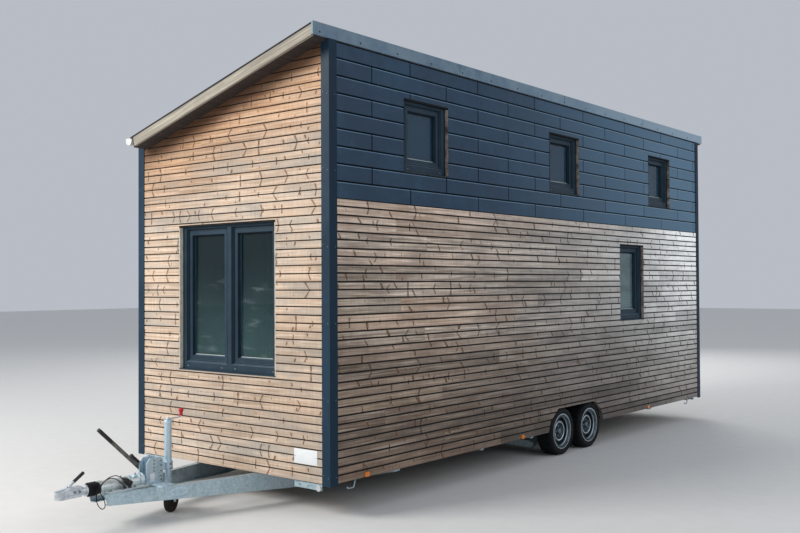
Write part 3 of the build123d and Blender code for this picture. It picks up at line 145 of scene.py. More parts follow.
class Tree:
    """A material's node tree."""

    def __init__(self, name):
        self.mat = bpy.data.materials.new(name)
        self.mat.use_nodes = True
        self.nt = self.mat.node_tree
        self.bsdf = self.nt.nodes["Principled BSDF"]

    def feed(self, socket, value):
        if isinstance(value, Value):
            self.nt.links.new(value.socket, socket)
        else:
            socket.default_value = value

    def node(self, kind, inputs=None, output=0, **props):
        n = self.nt.nodes.new(kind)
        for k, v in props.items():
            setattr(n, k, v)
        for k, v in (inputs or {}).items():
            self.feed(n.inputs[k], v)
        return Value(self, n.outputs[output])

    def set(self, **values):
        for k, v in values.items():
            self.feed(self.bsdf.inputs[k.replace("_", " ")], v)

    def math(self, op, a, b=0.0, c=0.0):
        return self.node("ShaderNodeMath", {0: a, 1: b, 2: c}, operation=op)

    def mul_add(self, a, b, c):
        return self.math("MULTIPLY_ADD", a, b, c)

    def highest(self, a, b):
        return self.math("MAXIMUM", a, b)

    def vmath(self, op, a, b=(0, 0, 0)):
        output = "Value" if op in ("LENGTH", "DOT_PRODUCT") else 0
        return self.node("ShaderNodeVectorMath", {0: a, 1: b}, output, operation=op)

    def scale(self, a, sx, sy, sz):
        return self.vmath("MULTIPLY", a, (sx, sy, sz))

    def mix(self, fac, a, b):
        """From colour a, where the factor is 0, to colour b."""
        a, b = (v if isinstance(v, Value) else rgb(v) for v in (a, b))
        return self.node("ShaderNodeMix", {0: fac, 6: a, 7: b}, 2, data_type="RGBA")

    def shade(self, colour, factor):
        """A colour made brighter or darker."""
        return self.vmath("MULTIPLY", colour, self.join(factor, factor, factor))

    def smooth(self, v, lo, hi, to_lo=0.0, to_hi=1.0):
        inputs = {"Value": v, "From Min": lo, "From Max": hi, "To Min": to_lo, "To Max": to_hi}
        return self.node("ShaderNodeMapRange", inputs, interpolation_type="SMOOTHSTEP")

    def noise(self, vec, scale=1.0, detail=3.0, rough=0.55):
        inputs = {"Vector": vec, "Scale": scale, "Detail": detail, "Roughness": rough}
        return self.node("ShaderNodeTexNoise", inputs, "Fac")

    def voronoi(self, vec, scale=1.0, dims="3D"):
        """The cells' middles and their colours."""
        inputs = {"Vector": vec, "Scale": scale}
        colour = self.node("ShaderNodeTexVoronoi", inputs, "Color", voronoi_dimensions=dims)
        return Value(self, colour.socket.node.outputs["Position"]), colour

    def split(self, vec):
        n = self.node("ShaderNodeSeparateXYZ", {0: vec}).socket.node
        return [Value(self, n.outputs[i]) for i in range(3)]

    def join(self, x, y, z):
        return self.node("ShaderNodeCombineXYZ", {0: x, 1: y, 2: z})

    def place(self):
        return self.node("ShaderNodeTexCoord", output="Object")

    def attr(self, name):
        return self.node("ShaderNodeAttribute", output="Vector", attribute_name=name)

    def bump(self, height, strength, distance, under=None):
        inputs = {"Height": height, "Strength": strength, "Distance": distance}
        if under is not None:
            inputs["Normal"] = under
        return self.node("ShaderNodeBump", inputs)


def surface(name, cloud, fine):
    """A new tree, its coordinates, and two noises given by their scale, detail and roughness."""
    t = Tree(name)
    at = t.place()
    return t, at, t.noise(at, *cloud), t.noise(at, *fine)


# Cladding boards: the rows' pitch, the middle of the groove, and depths from the wall's core
BOARD = 0.1365
GROOVE = 0.0643
BOARD_BACK, BOARD_EDGE, BOARD_FACE, GROOVE_FLOOR = 0.012, 0.0365, 0.0394, 0.0300
BACKING = 0.0122

# How the wood differs between the ends and the long sides: chances, (factor, addend) pairs and a dark colour
ENDS = {
    "spikes": 0.86, "lean": (1.7, -0.85), "spike_width": 0.0034,
    "knots": 0.60, "knot_size": (0.0120, -0.0015), "slant": (0.0, 0.35), "oval": 0.62,
    "fine": (0.34, 0.83), "core": (58, 38, 27),
}
SIDES = {
    "spikes": 0.42, "lean": (2.4, -1.2), "spike_width": 0.0044,
    "knots": 0.72, "knot_size": (0.0135, -0.0010), "slant": (2.0, -1.0), "oval": 0.36,
    "fine": (0.62, 0.68), "core": (30, 23, 19),
}


def branches(t, u, plank, cell, chance, seed):
    """At most one branch in each cell along a board: the way to it, random numbers, and whether it is there."""
    row = t.mul_add(plank, 3.7, seed)
    middle, colour = t.voronoi(t.join(u / cell, row, 0), dims="2D")
    away = (u / cell - t.split(middle)[0]) * cell
    r, g, b = t.split(colour)
    return away, r, g, b, r > 1 - chance


def spike_knots(t, u, plank, half_way, cut):
    """One branch cut twice, so that the knots mirror over the groove. Gives the knot and its halo."""
    away, _, g, b, on = branches(t, u, plank, 0.31, cut["spikes"], 0.0)
    across = abs(t.mul_add(half_way, t.mul_add(g, *cut["lean"]), away))
    share = across / t.mul_add(half_way, b * 0.11, cut["spike_width"])
    inside = t.smooth(half_way / t.mul_add(b, 0.050, 0.017), 1.10, 0.85)
    spike = t.smooth(share, 1.5, 0.75) * inside * on
    halo = t.smooth(across, 0.020, 0.004) * inside * on
    hollow = t.smooth(share, 0.62, 0.30) * (b > 0.45)
    return spike * t.mul_add(hollow, -0.55, 1.0), halo


def round_knots(t, u, plank, half_way, upper, cut):
    """Round and oval knots, each in one strip. Gives the knot, its rim, the ring round it and the place across."""
    away, r, g, b, on = branches(t, u, plank, 0.24, cut["knots"], 41.0)
    in_strip = half_way - t.mul_add(b, 0.036, 0.016)
    on = on * (1.0 - abs(upper - (g > 0.5)))
    leaning = t.mul_add(in_strip, t.mul_add(g, *cut["slant"]), away)
    oval = t.vmath("LENGTH", t.join(leaning, in_strip * cut["oval"], 0))
    reach = oval / t.mul_add(r, *cut["knot_size"])
    knot = on * t.smooth(reach, 1.15, 0.80)
    return knot, knot * t.smooth(reach, 0.35, 0.75), on * t.smooth(reach, 2.6, 1.0), in_strip


def boards_material(name, cut, pale, dark, grey, fresh, fresh_dark, brown=None, far=None):
    """Brushed softwood boards that have weathered: streaks, spike knots in pairs, round knots and cracks, with painted
    shadow under the soffit on the end walls and painted light and shade on the side walls.
    """
    t = Tree(name)
    u, v, plank = t.split(t.attr("grain"))
    bright, greyness, warm = t.split(t.attr("tone"))
    at = t.place()
    x, y, z = t.split(at)
    half_way = abs(v - GROOVE)
    spike, halo = spike_knots(t, u, plank, half_way, cut)
    knot, rim, ring, in_strip = round_knots(t, u, plank, half_way, v > GROOVE, cut)

    def grain(along, height, across, detail, rough=0.55, offset=plank):
        return t.noise(t.join(u * along, height * across, offset), 1.0, detail, rough)

    bend = t.highest(ring, halo) * (in_strip * 0.5)
    bent = t.mul_add(grain(1.1, v, 3.0, 2.0), 0.022, v - bend)
    streak = grain(1.5, bent, 75, 4.0, 0.62)
    fine = grain(7, bent, 330, 3.0, 0.6)
    cracks = t.smooth(grain(1.3, bent, 120, 2.0, offset=plank + 9), 0.66, 0.74)
    saw = grain(46, v, 4, 3.0, 0.6)
    patch = grain(1.9, v, 9.0, 3.0, 0.6)
    cloud = t.noise(t.scale(at, 0.75, 0.75, 1.4), 1.0, 4.0, 0.6)

    colour = t.mix(t.smooth(streak, 0.32, 0.70), dark, pale)
    colour = t.mix(greyness * t.smooth(patch, 0.34, 0.66), colour, grey)
    new = t.mix(t.smooth(streak, 0.30, 0.70), fresh_dark, fresh)
    shade = bright * t.smooth(patch + cloud, 0.86, 1.22, 1.05, 0.80)
    shade *= t.mul_add(fine, *cut["fine"])
    shade *= t.smooth(saw, 0.30, 0.75, 1.05, 0.90)
    shade *= t.mul_add(cracks, -0.32, 1.0)
    if cut is ENDS:
        # fresher and browner in the shelter of the sloping roof
        under = t.mul_add(x, SLOPE, SOFFIT - HALF * SLOPE) - z
        ragged = t.mul_add(patch - 0.5, 0.42, under)
        colour = t.mix(t.smooth(ragged, 0.92, 0.10) * 0.86, colour, new)
        colour = t.mix(t.smooth(ragged, 0.26, 0.02) * 0.80, colour, brown)
        colour = t.mix(warm * 0.55, colour, fresh)
        # painted shadow right under the soffit, then a little brighter higher up
        shade *= t.smooth(under, 0.0, 0.30, 0.48, 1.0)
        shade *= t.smooth(z, 1.8, 3.1, 1.0, 1.08)
    else:
        # boards of differing hue, paler towards the rear and dirty at the foot
        hue = t.math("FRACT", plank * 7.31)
        colour = t.mix(t.smooth(patch, 0.52, 0.72) * 0.45, colour, new)
        colour = t.mix(t.smooth(hue, 0.55, 0.95, 0.0, 0.30), colour, (200, 166, 142))
        colour = t.mix(t.smooth(hue, 0.40, 0.05, 0.0, 0.26), colour, (150, 142, 122))
        colour = t.mix(warm * 0.55, colour, fresh)
        colour = t.mix(t.smooth(y, -2.2, 4.0) * 0.86, colour, far)
        dirty = t.smooth(t.mul_add(patch, -0.8, z), 1.4, 0.0) * 0.42
        colour = t.mix(dirty, colour, (126, 96, 72))
        # painted light and shade: darker towards the foot and brighter up high, and along the wall a little darker at
        # the front corner, darker about the middle and much brighter towards the rear
        shade *= t.smooth(z, 0.3, 2.6, 0.60, 1.24)
        for start, stop, low, high in ((-3.0, -2.2, 0.93, 1.04), (-1.9, 0.2, 1.0, 0.73), (2.2, 4.0, 1.0, 1.72)):
            shade *= t.smooth(y, start, stop, low, high)
    colour = t.shade(colour, shade)
    colour = t.mix(t.highest(ring * 0.34, halo * 0.26), colour, fresh_dark)
    colour = t.mix(knot * 0.55, colour, (124, 84, 56))
    core = t.highest(rim * 0.90, spike * 0.92)
    height = streak * 0.7 + fine * 0.4 - cracks * 0.8 + core * 0.5
    t.set(
        Base_Color=t.mix(core, colour, cut["core"]),
        Roughness=t.smooth(streak, 0.2, 0.8, 0.93, 0.74),
        Normal=t.bump(height, 0.5, 0.0011),
        Specular_IOR_Level=0.20,
    )
    return t.mat


def plain_wood_material(name, pale, dark, axis, slope=0.0):
    """Sawn timber with its grain along one axis of the frame, which may slope."""
    t = Tree(name)
    at = t.place()
    if slope:
        x, y, z = t.split(at)
        c, s = math.cos(slope), math.sin(slope)
        at = t.join(t.mul_add(x, c, z * s), y, t.mul_add(x, -s, z * c))
    grain = {"x": (1.4, 50, 50), "y": (50, 1.4, 50)}[axis]
    streak = t.noise(t.scale(at, *grain), 1.0, 4.0, 0.6)
    fine = t.noise(t.scale(at, *[c * 5 for c in grain]), 1.0, 2.0)
    colour = t.mix(t.smooth(streak, 0.3, 0.7), dark, pale)
    colour = t.mix(t.smooth(t.noise(at, 3.0, 3.0), 0.45, 0.75) * 0.45, colour, dark)
    height = streak + fine * 0.5
    t.set(Base_Color=colour, Roughness=t.smooth(fine, 0.2, 0.8, 0.9, 0.7), Normal=t.bump(height, 0.4, 0.001))
    return t.mat


def paint_material(name, base, deep, rough=0.40, dust=0.08, toned=False, far=None, shaded_flank=None, shine=0.30):
    """Powder-coated sheet: small differences between sheets, dust and a slight waviness, with a painted reflection
    that pales towards the rear and painted shade on side faces at the body's width.
    """
    t, at, cloud, mottle = surface(name, (1.3, 4.0, 0.6), (9.0, 4.0, 0.65))
    x, y, _ = t.split(at)
    colour = t.mix(t.smooth(t.mul_add(mottle, 0.35, cloud * 0.65), 0.36, 0.62), deep, base)
    # painted reflection, paler towards the rear
    if far is not None:
        colour = t.mix(t.smooth(y, -1.5, 5.2), colour, far)
    # painted shade on the faces that lie at the body's full width
    if shaded_flank is not None:
        colour = t.mix(t.smooth(abs(x), HALF - 0.0012, HALF - 0.0006), colour, shaded_flank)
    if toned:
        colour = t.shade(colour, t.split(t.attr("tone"))[0])
    film = t.smooth(mottle, 0.50, 0.80) * dust
    colour = t.mix(film * 0.4, colour, (104, 120, 136))
    speck = t.smooth(t.noise(at, 210.0, 2.0, 0.7), 0.70, 0.80) * (dust * 0.7)
    wave = t.bump(t.noise(t.scale(at, 5, 5, 9), 1.0, 2.0), 0.20, 0.004)
    t.set(
        Base_Color=t.mix(speck, colour, (140, 144, 142)),
        Roughness=t.smooth(cloud + film * 0.8, 0.2, 1.1, rough - 0.07, rough + 0.22),
        Normal=t.bump(t.noise(at, 900.0, 1.0), 0.10, 0.0002, wave),
        Specular_IOR_Level=shine,
    )
    return t.mat


def galvanised_material(name, pale=(198, 216, 223), deep=(142, 166, 178), rust=0.0, scale=60.0):
    """Hot-dip zinc: spangle, dull white bloom, runs and a little rust."""
    t, at, cloud, grain = surface(name, (7.0, 4.0, 0.65), (130.0, 3.0, 0.7))
    tint = t.split(t.voronoi(at, scale)[1])[0]
    bloom = t.smooth(cloud, 0.48, 0.72)
    blend = t.mul_add(tint, 0.45, cloud * 0.35) + t.smooth(grain, 0.35, 0.70, -0.10, 0.40)
    colour = t.mix(blend, deep, pale)
    colour = t.mix(bloom * 0.45, colour, (208, 222, 228))
    if rust:
        spots = t.noise(at, 26.0, 5.0, 0.7)
        colour = t.mix(t.smooth(spots, 0.60, 0.72) * rust, colour, (112, 66, 38))
    dirt = t.noise(t.scale(at, 9, 9, 4), 1.0, 4.0, 0.7)
    t.set(
        Base_Color=t.mix(t.smooth(dirt, 0.55, 0.8) * 0.4, colour, (86, 84, 78)),
        Roughness=t.mul_add(tint, 0.16, t.mul_add(bloom, 0.18, 0.36)),
        Normal=t.bump(tint + cloud * 2.0, 0.12, 0.0006),
        Metallic=0.72,
    )
    return t.mat


def cast_material(name, pale, deep, rough=0.5, metallic=0.0, grain=420.0):
    """A cast or moulded surface with a fine grain and grime in its low places."""
    t, _, cloud, fine = surface(name, (14.0, 4.0, 0.6), (grain, 2.0, 0.6))
    colour = t.mix(t.smooth(cloud, 0.3, 0.7), deep, pale)
    t.set(
        Base_Color=t.mix(t.smooth(fine, 0.62, 0.78) * 0.25, colour, (120, 116, 108)),
        Roughness=t.smooth(cloud, 0.2, 0.8, rough - 0.08, rough + 0.14),
        Normal=t.bump(fine, 0.25, 0.0004),
        Metallic=metallic,
    )
    return t.mat


def rubber_material(name, base, dusty, dust=0.25):
    """Rubber with dust lying on it in patches."""
    t, _, cloud, fine = surface(name, (9.0, 5.0, 0.65), (500.0, 2.0, 0.6))
    t.set(
        Base_Color=t.mix(t.smooth(cloud, 0.42, 0.75) * dust, base, dusty),
        Roughness=t.smooth(cloud, 0.2, 0.8, 0.66, 0.90),
        Normal=t.bump(fine, 0.3, 0.0004),
        Specular_IOR_Level=0.28,
    )
    return t.mat


def glass_material(name, tint, deep, high):
    """Double glazing before a dark room: partly clear, glossy, with painted reflections that change with height, faint
    rain marks and dust.
    """
    t = Tree(name)
    at = t.place()
    x, _, z = t.split(at)
    cloud = t.noise(t.scale(at, 1.4, 1.4, 1.0), 1.0, 3.0, 0.5)
    runs = t.noise(t.scale(at, 40, 40, 1.2), 1.0, 4.0, 0.6)
    smudge = t.noise(t.scale(at, 3.0, 3.0, 11.0), 1.0, 4.0, 0.6)
    # painted reflection: darker higher up, and bluer in the high panes
    colour = t.mix(t.smooth(t.mul_add(cloud, 0.7, z), 1.35, 2.50), tint, deep)
    colour = t.mix(t.smooth(z, 2.35, 2.75), colour, high)
    # the low pane in the right side is paler, and so is the lower part of every pane
    beside = t.smooth(x, 0.9, 1.0) * t.smooth(z, 2.35, 2.25)
    colour = t.mix(beside * t.smooth(smudge, 0.30, 0.62, 0.5, 0.9), colour, (118, 146, 150))
    low = t.smooth(z, 2.10, 1.90)
    colour = t.mix(low * t.smooth(smudge, 0.54, 0.72, 0.0, 0.36), colour, (128, 146, 148))
    film = t.smooth(runs, 0.55, 0.85)
    t.set(
        Base_Color=t.mix(film * 0.10, colour, (150, 156, 156)),
        Roughness=t.mul_add(film, 0.10, 0.03),
        Normal=t.bump(t.noise(t.scale(at, 2.2, 2.2, 2.2), 1.0, 1.0), 0.05, 0.004),
        IOR=1.50,
        Alpha=0.64,
    )
    return t.mat


def rim_material(name):
    """A steel rim: painted highlights on its lip and raised ring, painted shade on its disc and darker painted shade
    between its vents.
    """
    t, at, cloud, fine = surface(name, (18.0, 4.0, 0.6), (300.0, 2.0, 0.6))
    _, y, z = t.split(at)
    dy = t.math("MINIMUM", abs(y - WHEEL_YS[0]), abs(y - WHEEL_YS[1]))
    dz = z - WHEEL_RADIUS
    r = t.math("SQRT", dy * dy + dz * dz)

    def band(start, full, fading, stop):
        return t.smooth(r, start, full) * t.smooth(r, stop, fading)

    # painted shade: a dark disc, darker still between the vents and about the middle
    steel = t.mix(t.smooth(cloud, 0.3, 0.7), (52, 66, 74), (82, 98, 106))
    steel = t.mix(band(0.108, 0.116, 0.141, 0.147) * 0.72, steel, (22, 32, 38))
    steel = t.mix(t.smooth(r, 0.094, 0.088) * 0.35, steel, (30, 42, 48))
    # painted highlights: bright bands on the lip and on the raised ring
    outside = t.highest(t.smooth(r, 0.1800, 0.1850) * 0.72, band(0.1540, 0.1570, 0.1610, 0.1640) * 0.60)
    bright = t.highest(band(0.0925, 0.0955, 0.1035, 0.1075), outside)
    colour = t.mix(bright, steel, (214, 226, 231))
    t.set(
        Base_Color=t.mix(t.smooth(fine, 0.55, 0.8) * 0.25, colour, (96, 100, 100)),
        Roughness=t.smooth(cloud, 0.2, 0.8, 0.24, 0.38),
        Normal=t.bump(fine, 0.12, 0.0003),
        Metallic=0.85,
    )
    return t.mat


def masked_material(name, pale, deep, dark, start, way, reach, side_way, side_reach):
    """Worn steel that turns to black plastic beyond a distance along a lever, or to one side of it."""
    t, at, cloud, fine = surface(name, (24.0, 4.0, 0.6), (380.0, 2.0, 0.6))
    away = t.vmath("SUBTRACT", at, tuple(start))
    along = t.vmath("DOT_PRODUCT", away, tuple(way))
    aside = t.vmath("DOT_PRODUCT", away, tuple(side_way))
    steel = t.mix(t.smooth(cloud, 0.3, 0.7), deep, pale)
    steel = t.mix(t.smooth(fine, 0.6, 0.8) * 0.3, steel, (96, 84, 70))
    plastic = t.mix(t.smooth(cloud, 0.3, 0.7), dark, (44, 45, 47))
    t.set(
        Base_Color=t.mix(t.highest(along > reach, aside > side_reach), steel, plastic),
        Roughness=t.mul_add(cloud, 0.25, 0.36),
        Normal=t.bump(fine, 0.2, 0.0004),
        Metallic=0.25,
    )
    return t.mat


def lens_material(name, pale, deep, front=None):
    """A ribbed lens. Front is a deep and a pale colour for the lenses on the front wall."""
    t = Tree(name)
    at = t.place()
    ribs = t.node("ShaderNodeTexWave", {"Vector": at, "Scale": 60.0, "Distortion": 0.3}, "Fac")
    cloud = t.noise(at, 30.0, 3.0)
    blend = t.mul_add(ribs, 0.6, cloud * 0.4)
    colour = t.mix(blend, deep, pale)
    if front:
        colour = t.mix(t.split(at)[1] < FRONT + 0.02, colour, t.mix(blend, *front))
    t.set(
        Base_Color=colour,
        Roughness=t.smooth(cloud, 0.3, 0.7, 0.10, 0.24),
        Normal=t.bump(ribs, 0.2, 0.0006),
        Coat_Weight=0.5,
    )
    return t.mat


# Materials: the paler colour, then the deeper one
front_boards = boards_material(
    "boards_front", ENDS, pale=(214, 194, 175), dark=(178, 154, 132), grey=(186, 176, 164),
    fresh=(206, 168, 134), fresh_dark=(156, 116, 84), brown=(112, 72, 48),
)
side_boards = boards_material(
    "boards_side", SIDES, pale=(224, 206, 188), dark=(124, 106, 92), grey=(156, 148, 141),
    fresh=(200, 168, 138), fresh_dark=(136, 104, 80), far=(226, 227, 224),
)
# near-black wood as painted shade in the boards' grooves and behind their gaps
front_joint_shade = plain_wood_material("joint_shade_front", (46, 30, 22), (26, 17, 12), "x")
side_joint_shade = plain_wood_material("joint_shade_side", (14, 11, 10), (8, 7, 7), "y")
barge_wood = plain_wood_material("barge_wood", (174, 168, 154), (124, 118, 106), "x", math.atan(SLOPE))
core_wood = plain_wood_material("core_wood", (176, 146, 108), (140, 112, 80), "x")
# dark wood as painted shade under the roof's overhang
soffit_shade_wood = plain_wood_material("soffit_shade_wood", (60, 50, 46), (36, 30, 29), "y")
floor_wood = plain_wood_material("floor_wood", (142, 116, 88), (104, 82, 60), "y")

# The far colours paint a reflection that pales towards the rear; the trim's flank colour paints shade on its side
# faces
slate_panels = paint_material("slate_panels", (39, 67, 90), (29, 54, 76), 0.52, toned=True, far=(94, 126, 150))
# a lighter copy of the panel paint, as painted highlight on the panels' lips
slate_lip_highlight = paint_material("slate_lip_highlight", (106, 136, 160), (88, 118, 142), dust=0.2, far=(140, 168, 186))
slate_trim = paint_material("slate_trim", (28, 53, 71), (21, 43, 59), 0.50, shaded_flank=(15, 40, 58), shine=0.18)
fascia_paint = paint_material("fascia_paint", (116, 136, 150), (82, 108, 130), 0.42, 0.3, far=(150, 174, 190))
window_paint = paint_material("window_paint", (37, 58, 72), (28, 47, 60), 0.42, shine=0.22)
# a lighter copy of the window paint, as painted highlight on the lower slopes
window_edge_highlight = paint_material("window_edge_highlight", (74, 94, 110), (58, 77, 92), 0.34, 0.10)
spacer_metal = paint_material("spacer_metal", (196, 206, 202), (172, 184, 182), dust=0.05)
white_metal = paint_material("white_metal", (232, 234, 234), (220, 224, 226), 0.35, 0.12)
gutter_paint = paint_material("gutter_paint", (214, 216, 214), (198, 202, 202), dust=0.3)

zinc = galvanised_material("galvanised")
zinc_rusty = galvanised_material("galvanised_worn", rust=0.5)
zinc_light = galvanised_material("galvanised_bright", (206, 226, 238), (168, 192, 206), scale=140.0)
housing_zinc = galvanised_material("housing_zinc", (236, 240, 236), (188, 202, 206), scale=140.0)
box_steel = galvanised_material("wheel_box_steel", (120, 128, 132), (84, 92, 96))

cap_plastic = cast_material("cap_plastic", (126, 132, 138), (100, 106, 112), 0.4)
foam = cast_material("foam_strip", (240, 236, 222), (214, 206, 186), 0.85, grain=180.0)
foam_brown = cast_material("foam_brown", (186, 172, 160), (84, 74, 68), 0.85, grain=60.0)
casting = cast_material("zinc_casting", (226, 232, 235), (176, 184, 190), 0.36, metallic=0.5)
hub_grey = cast_material("hub_grey", (122, 136, 142), (84, 98, 106), 0.4, metallic=0.5, grain=200.0)
black_plastic = cast_material("black_plastic", (32, 33, 35), (20, 21, 23), 0.45)
red_plastic = cast_material("red_plastic", (206, 20, 42), (164, 10, 28), 0.34)
screw_steel = cast_material("screw_steel", (160, 166, 170), (118, 124, 128), 0.32, metallic=0.85)
screw_dark = cast_material("screw_dark", (20, 26, 32), (12, 16, 20))
screw_blue = cast_material("screw_blue", (112, 130, 146), (84, 102, 120), 0.35, metallic=0.2)

gasket = rubber_material("gasket", (12, 13, 15), (30, 30, 31))
tyre_rubber = rubber_material("tyre_rubber", (9, 13, 17), (23, 28, 32), 0.35)
jockey_rubber = rubber_material("jockey_rubber", (34, 29, 27), (60, 50, 42), 0.5)
bellows_rubber = rubber_material("bellows_rubber", (18, 20, 24), (44, 45, 47), 0.25)
cable_rubber = rubber_material("cable_rubber", (22, 23, 25), (50, 49, 47), 0.25)
membrane = rubber_material("roof_membrane", (26, 27, 31), (58, 58, 58), 0.30)

glass = glass_material("window_glass", tint=(60, 87, 89), deep=(12, 34, 38), high=(46, 76, 98))
rim_steel = rim_material("rim_steel")
amber = lens_material("marker_lens", (244, 152, 30), (198, 94, 6), front=((150, 158, 162), (206, 212, 214)))
red_lens = lens_material("red_lens", (170, 16, 20), (96, 6, 10))

# The two levers: where they turn, which way they point, and how far along them the black grip starts
LEVER_COS, LEVER_SIN = math.cos(math.radians(42.8)), math.sin(math.radians(42.8))
lever_pivot, lever_way = ahead(-80, 800, 362), Vector((0, -LEVER_COS, LEVER_SIN))
lever_normal = Vector((0, LEVER_SIN, LEVER_COS))
handle_way = Vector((0, math.cos(math.radians(34.5)), math.sin(math.radians(34.5))))
lever_steel = masked_material(
    "lever_steel", (122, 118, 112), (84, 80, 75), (26, 27, 29), lever_pivot, lever_way, 0.4135, lever_normal, 0.0165
)
handle_steel = masked_material(
    "handle_steel", (214, 220, 224), (168, 176, 182), (24, 25, 27), ahead(0, 1532, 374), handle_way, 0.0475, Z, BEYOND
)


# Mesh helpers
def put(name, mesh, materials, body, replaces=(), sharp=None):
    """Makes an object of a mesh. It is smooth, but for edges beyond an angle in degrees, or flat without one."""
    for material in materials:
        mesh.materials.append(material)
    mesh.polygons.foreach_set("use_smooth", [sharp is not None] * len(mesh.polygons))
    if sharp is not None:
        mesh.set_sharp_from_angle(angle=math.radians(sharp))
    mesh.update()
    obj = add_object(name, mesh)
    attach(obj, body)
    if replaces:
        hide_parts(*replaces)
    return obj


def piece(name, bm, materials, body, replaces=(), sharp=32):
    """One object from a bmesh."""
    bmesh.ops.recalc_face_normals(bm, faces=bm.faces)
    mesh = bpy.data.meshes.new(name)
    bm.to_mesh(mesh)
    bm.free()
    return put(name, mesh, materials, body, replaces, sharp)


class Shape:
    """Collects closed forms, each with its own grain and tone, and makes one object of them."""

    def __init__(self):
        self.verts, self.faces, self.grain, self.tone, self.kind = [], [], [], [], []

    def add(self, verts, faces, grain, tone, kind):
        base = len(self.verts)
        self.verts += verts
        self.faces += [tuple(base + i for i in f) for f in faces]
        self.grain += grain
        self.tone += [tone] * len(verts)
        self.kind += kind

    def make(self, name, materials, replaces):
        mesh = bpy.data.meshes.new(name)
        mesh.from_pydata(self.verts, [], self.faces)
        for attribute, values in (("grain", self.grain), ("tone", self.tone)):
            layer = mesh.attributes.new(attribute, "FLOAT_VECTOR", "POINT")
            layer.data.foreach_set("vector", [c for value in values for c in value])
        mesh.polygons.foreach_set("material_index", self.kind)
        closed = bmesh.new()
        closed.from_mesh(mesh)
        bmesh.ops.recalc_face_normals(closed, faces=closed.faces)
        closed.to_mesh(mesh)
        closed.free()
        put(name, mesh, materials, "house", replaces)


def block(bm, centre, size, axes=(X, Y, Z), bevel=0.0, steps=2, kind=0):
    """A block with rounded edges, its sides along the given axes."""
    verts = bmesh.ops.create_cube(bm, size=1.0)["verts"]
    for v in verts:
        x, y, z = (c * s for c, s in zip(v.co, size))
        v.co = Vector(centre) + axes[0] * x + axes[1] * y + axes[2] * z
    for f in {f for v in verts for f in v.link_faces}:
        f.material_index = kind
    if bevel:
        edges = list({e for v in verts for e in v.link_edges})
        options = {"segments": steps, "affect": "EDGES", "profile": 0.5, "material": kind}
        bmesh.ops.bevel(bm, geom=edges, offset=bevel, **options)


def skin(bm, rows, kind=0, closed=False):
    """Faces between rows of points that run round a form: closed joins the last row to the first."""
    for a, b in zip(rows, rows[1:] + (rows[:1] if closed else [])):
        count = max(len(a), len(b))
        for i in range(count):
            j = (i + 1) % count
            if len(a) == 1:
                corners = (a[0], b[j], b[i])
            elif len(b) == 1:
                corners = (a[i], a[j], b[0])
            else:
                corners = (a[i], a[j], b[j], b[i])
            bm.faces.new(corners).material_index = kind
    if not closed:
        for row in (rows[0][::-1], rows[-1]):
            if len(row) > 1:
                bm.faces.new(row).material_index = kind


def lathe(bm, origin, direction, profile, segments=32, kind=0, ring=False):
    """A turned form: profile points are (radius, height along the direction). A ring's profile closes on itself."""
    z = Vector(direction).normalized()
    x = z.orthogonal().normalized()
    y = z.cross(x)
    turns = [2 * math.pi * i / segments for i in range(segments)]
    rows = []
    for r, h in profile:
        middle = Vector(origin) + z * h
        around = turns if r > 0 else turns[:1]
        rows.append([bm.verts.new(middle + (x * math.cos(a) + y * math.sin(a)) * r) for a in around])
    skin(bm, rows, kind, ring)


def sweep(bm, points, radius, segments=14):
    """A round bar along points, with closed ends."""
    ways = [(b - a).normalized() for a, b in zip(points, points[1:])]
    ways = [ways[0]] + [(a + b).normalized() for a, b in zip(ways, ways[1:])] + [ways[-1]]
    side = ways[0].orthogonal().normalized()
    turns = [2 * math.pi * i / segments for i in range(segments)]
    rows = []
    for point, way in zip(points, ways):
        side = (side - way * side.dot(way)).normalized()
        other = way.cross(side)
        rows.append([bm.verts.new(point + (side * math.cos(a) + other * math.sin(a)) * radius) for a in turns])
    skin(bm, rows)


def slab(bm, outline, across, thick):
    """A flat sheet: its outline is a list of points, thickened along a direction."""
    skin(bm, [[bm.verts.new(p + Vector(across) * rise) for p in outline] for rise in (0, thick)])


def bolt(bm, at, direction, across=0.0095, height=0.007, washer=True, kind=0):
    """A hexagon head with a chamfer on a washer, standing on a surface."""
    if washer:
        lathe(bm, at, direction, [(across * 1.05, 0), (across * 1.05, 0.0016), (across * 0.9, 0.002)], 20, kind)
    foot = Vector(at) + Vector(direction).normalized() * 0.0018
    lathe(bm, foot, direction, [(across, 0), (across, height * 0.75), (across * 0.86, height), (0, height)], 6, kind)


def screw(bm, at, direction, radius, height, kind=0):
    """A flat-domed screw head with a small recess."""
    shares = [(1, 0.3), (0.8, 0.8), (0.45, 1), (0.42, 0.4), (0, 0.35)]
    lathe(bm, at, direction, [(radius, -0.001)] + [(radius * r, height * h) for r, h in shares], 16, kind)


# Trailer cable: its route, as in the CAD model
cable_route = [
    (82, 1096, 306), (82, 1122, 342), (76, 1180, 389), (74, 1236, 396), (74, 1290, 368),
    (74, 1334, 318), (80, 1352, 258), (104, 1350, 206), (142, 1336, 178), (168, 1324, 206),
    (148, 1324, 252), (112, 1334, 294), (98, 1324, 352), (96, 1270, 398), (92, 1206, 414),
]
plug_axis = Vector((0, math.cos(math.radians(36)), -math.sin(math.radians(36))))
plug_start = ahead(80, 1115, 377)
cable_points = [ahead(*p) for p in cable_route] + [plug_start - plug_axis * 0.043, plug_start]
curve = bpy.data.curves.new("trailer_cable", "CURVE")
curve.dimensions = "3D"
curve.bevel_depth = 0.0035
curve.bevel_resolution = 4
curve.resolution_u = 12
curve.use_fill_caps = True
spline = curve.splines.new("NURBS")
spline.points.add(len(cable_points) - 1)
for point, co in zip(spline.points, cable_points):
    point.co = (*co, 1.0)
spline.order_u = 3
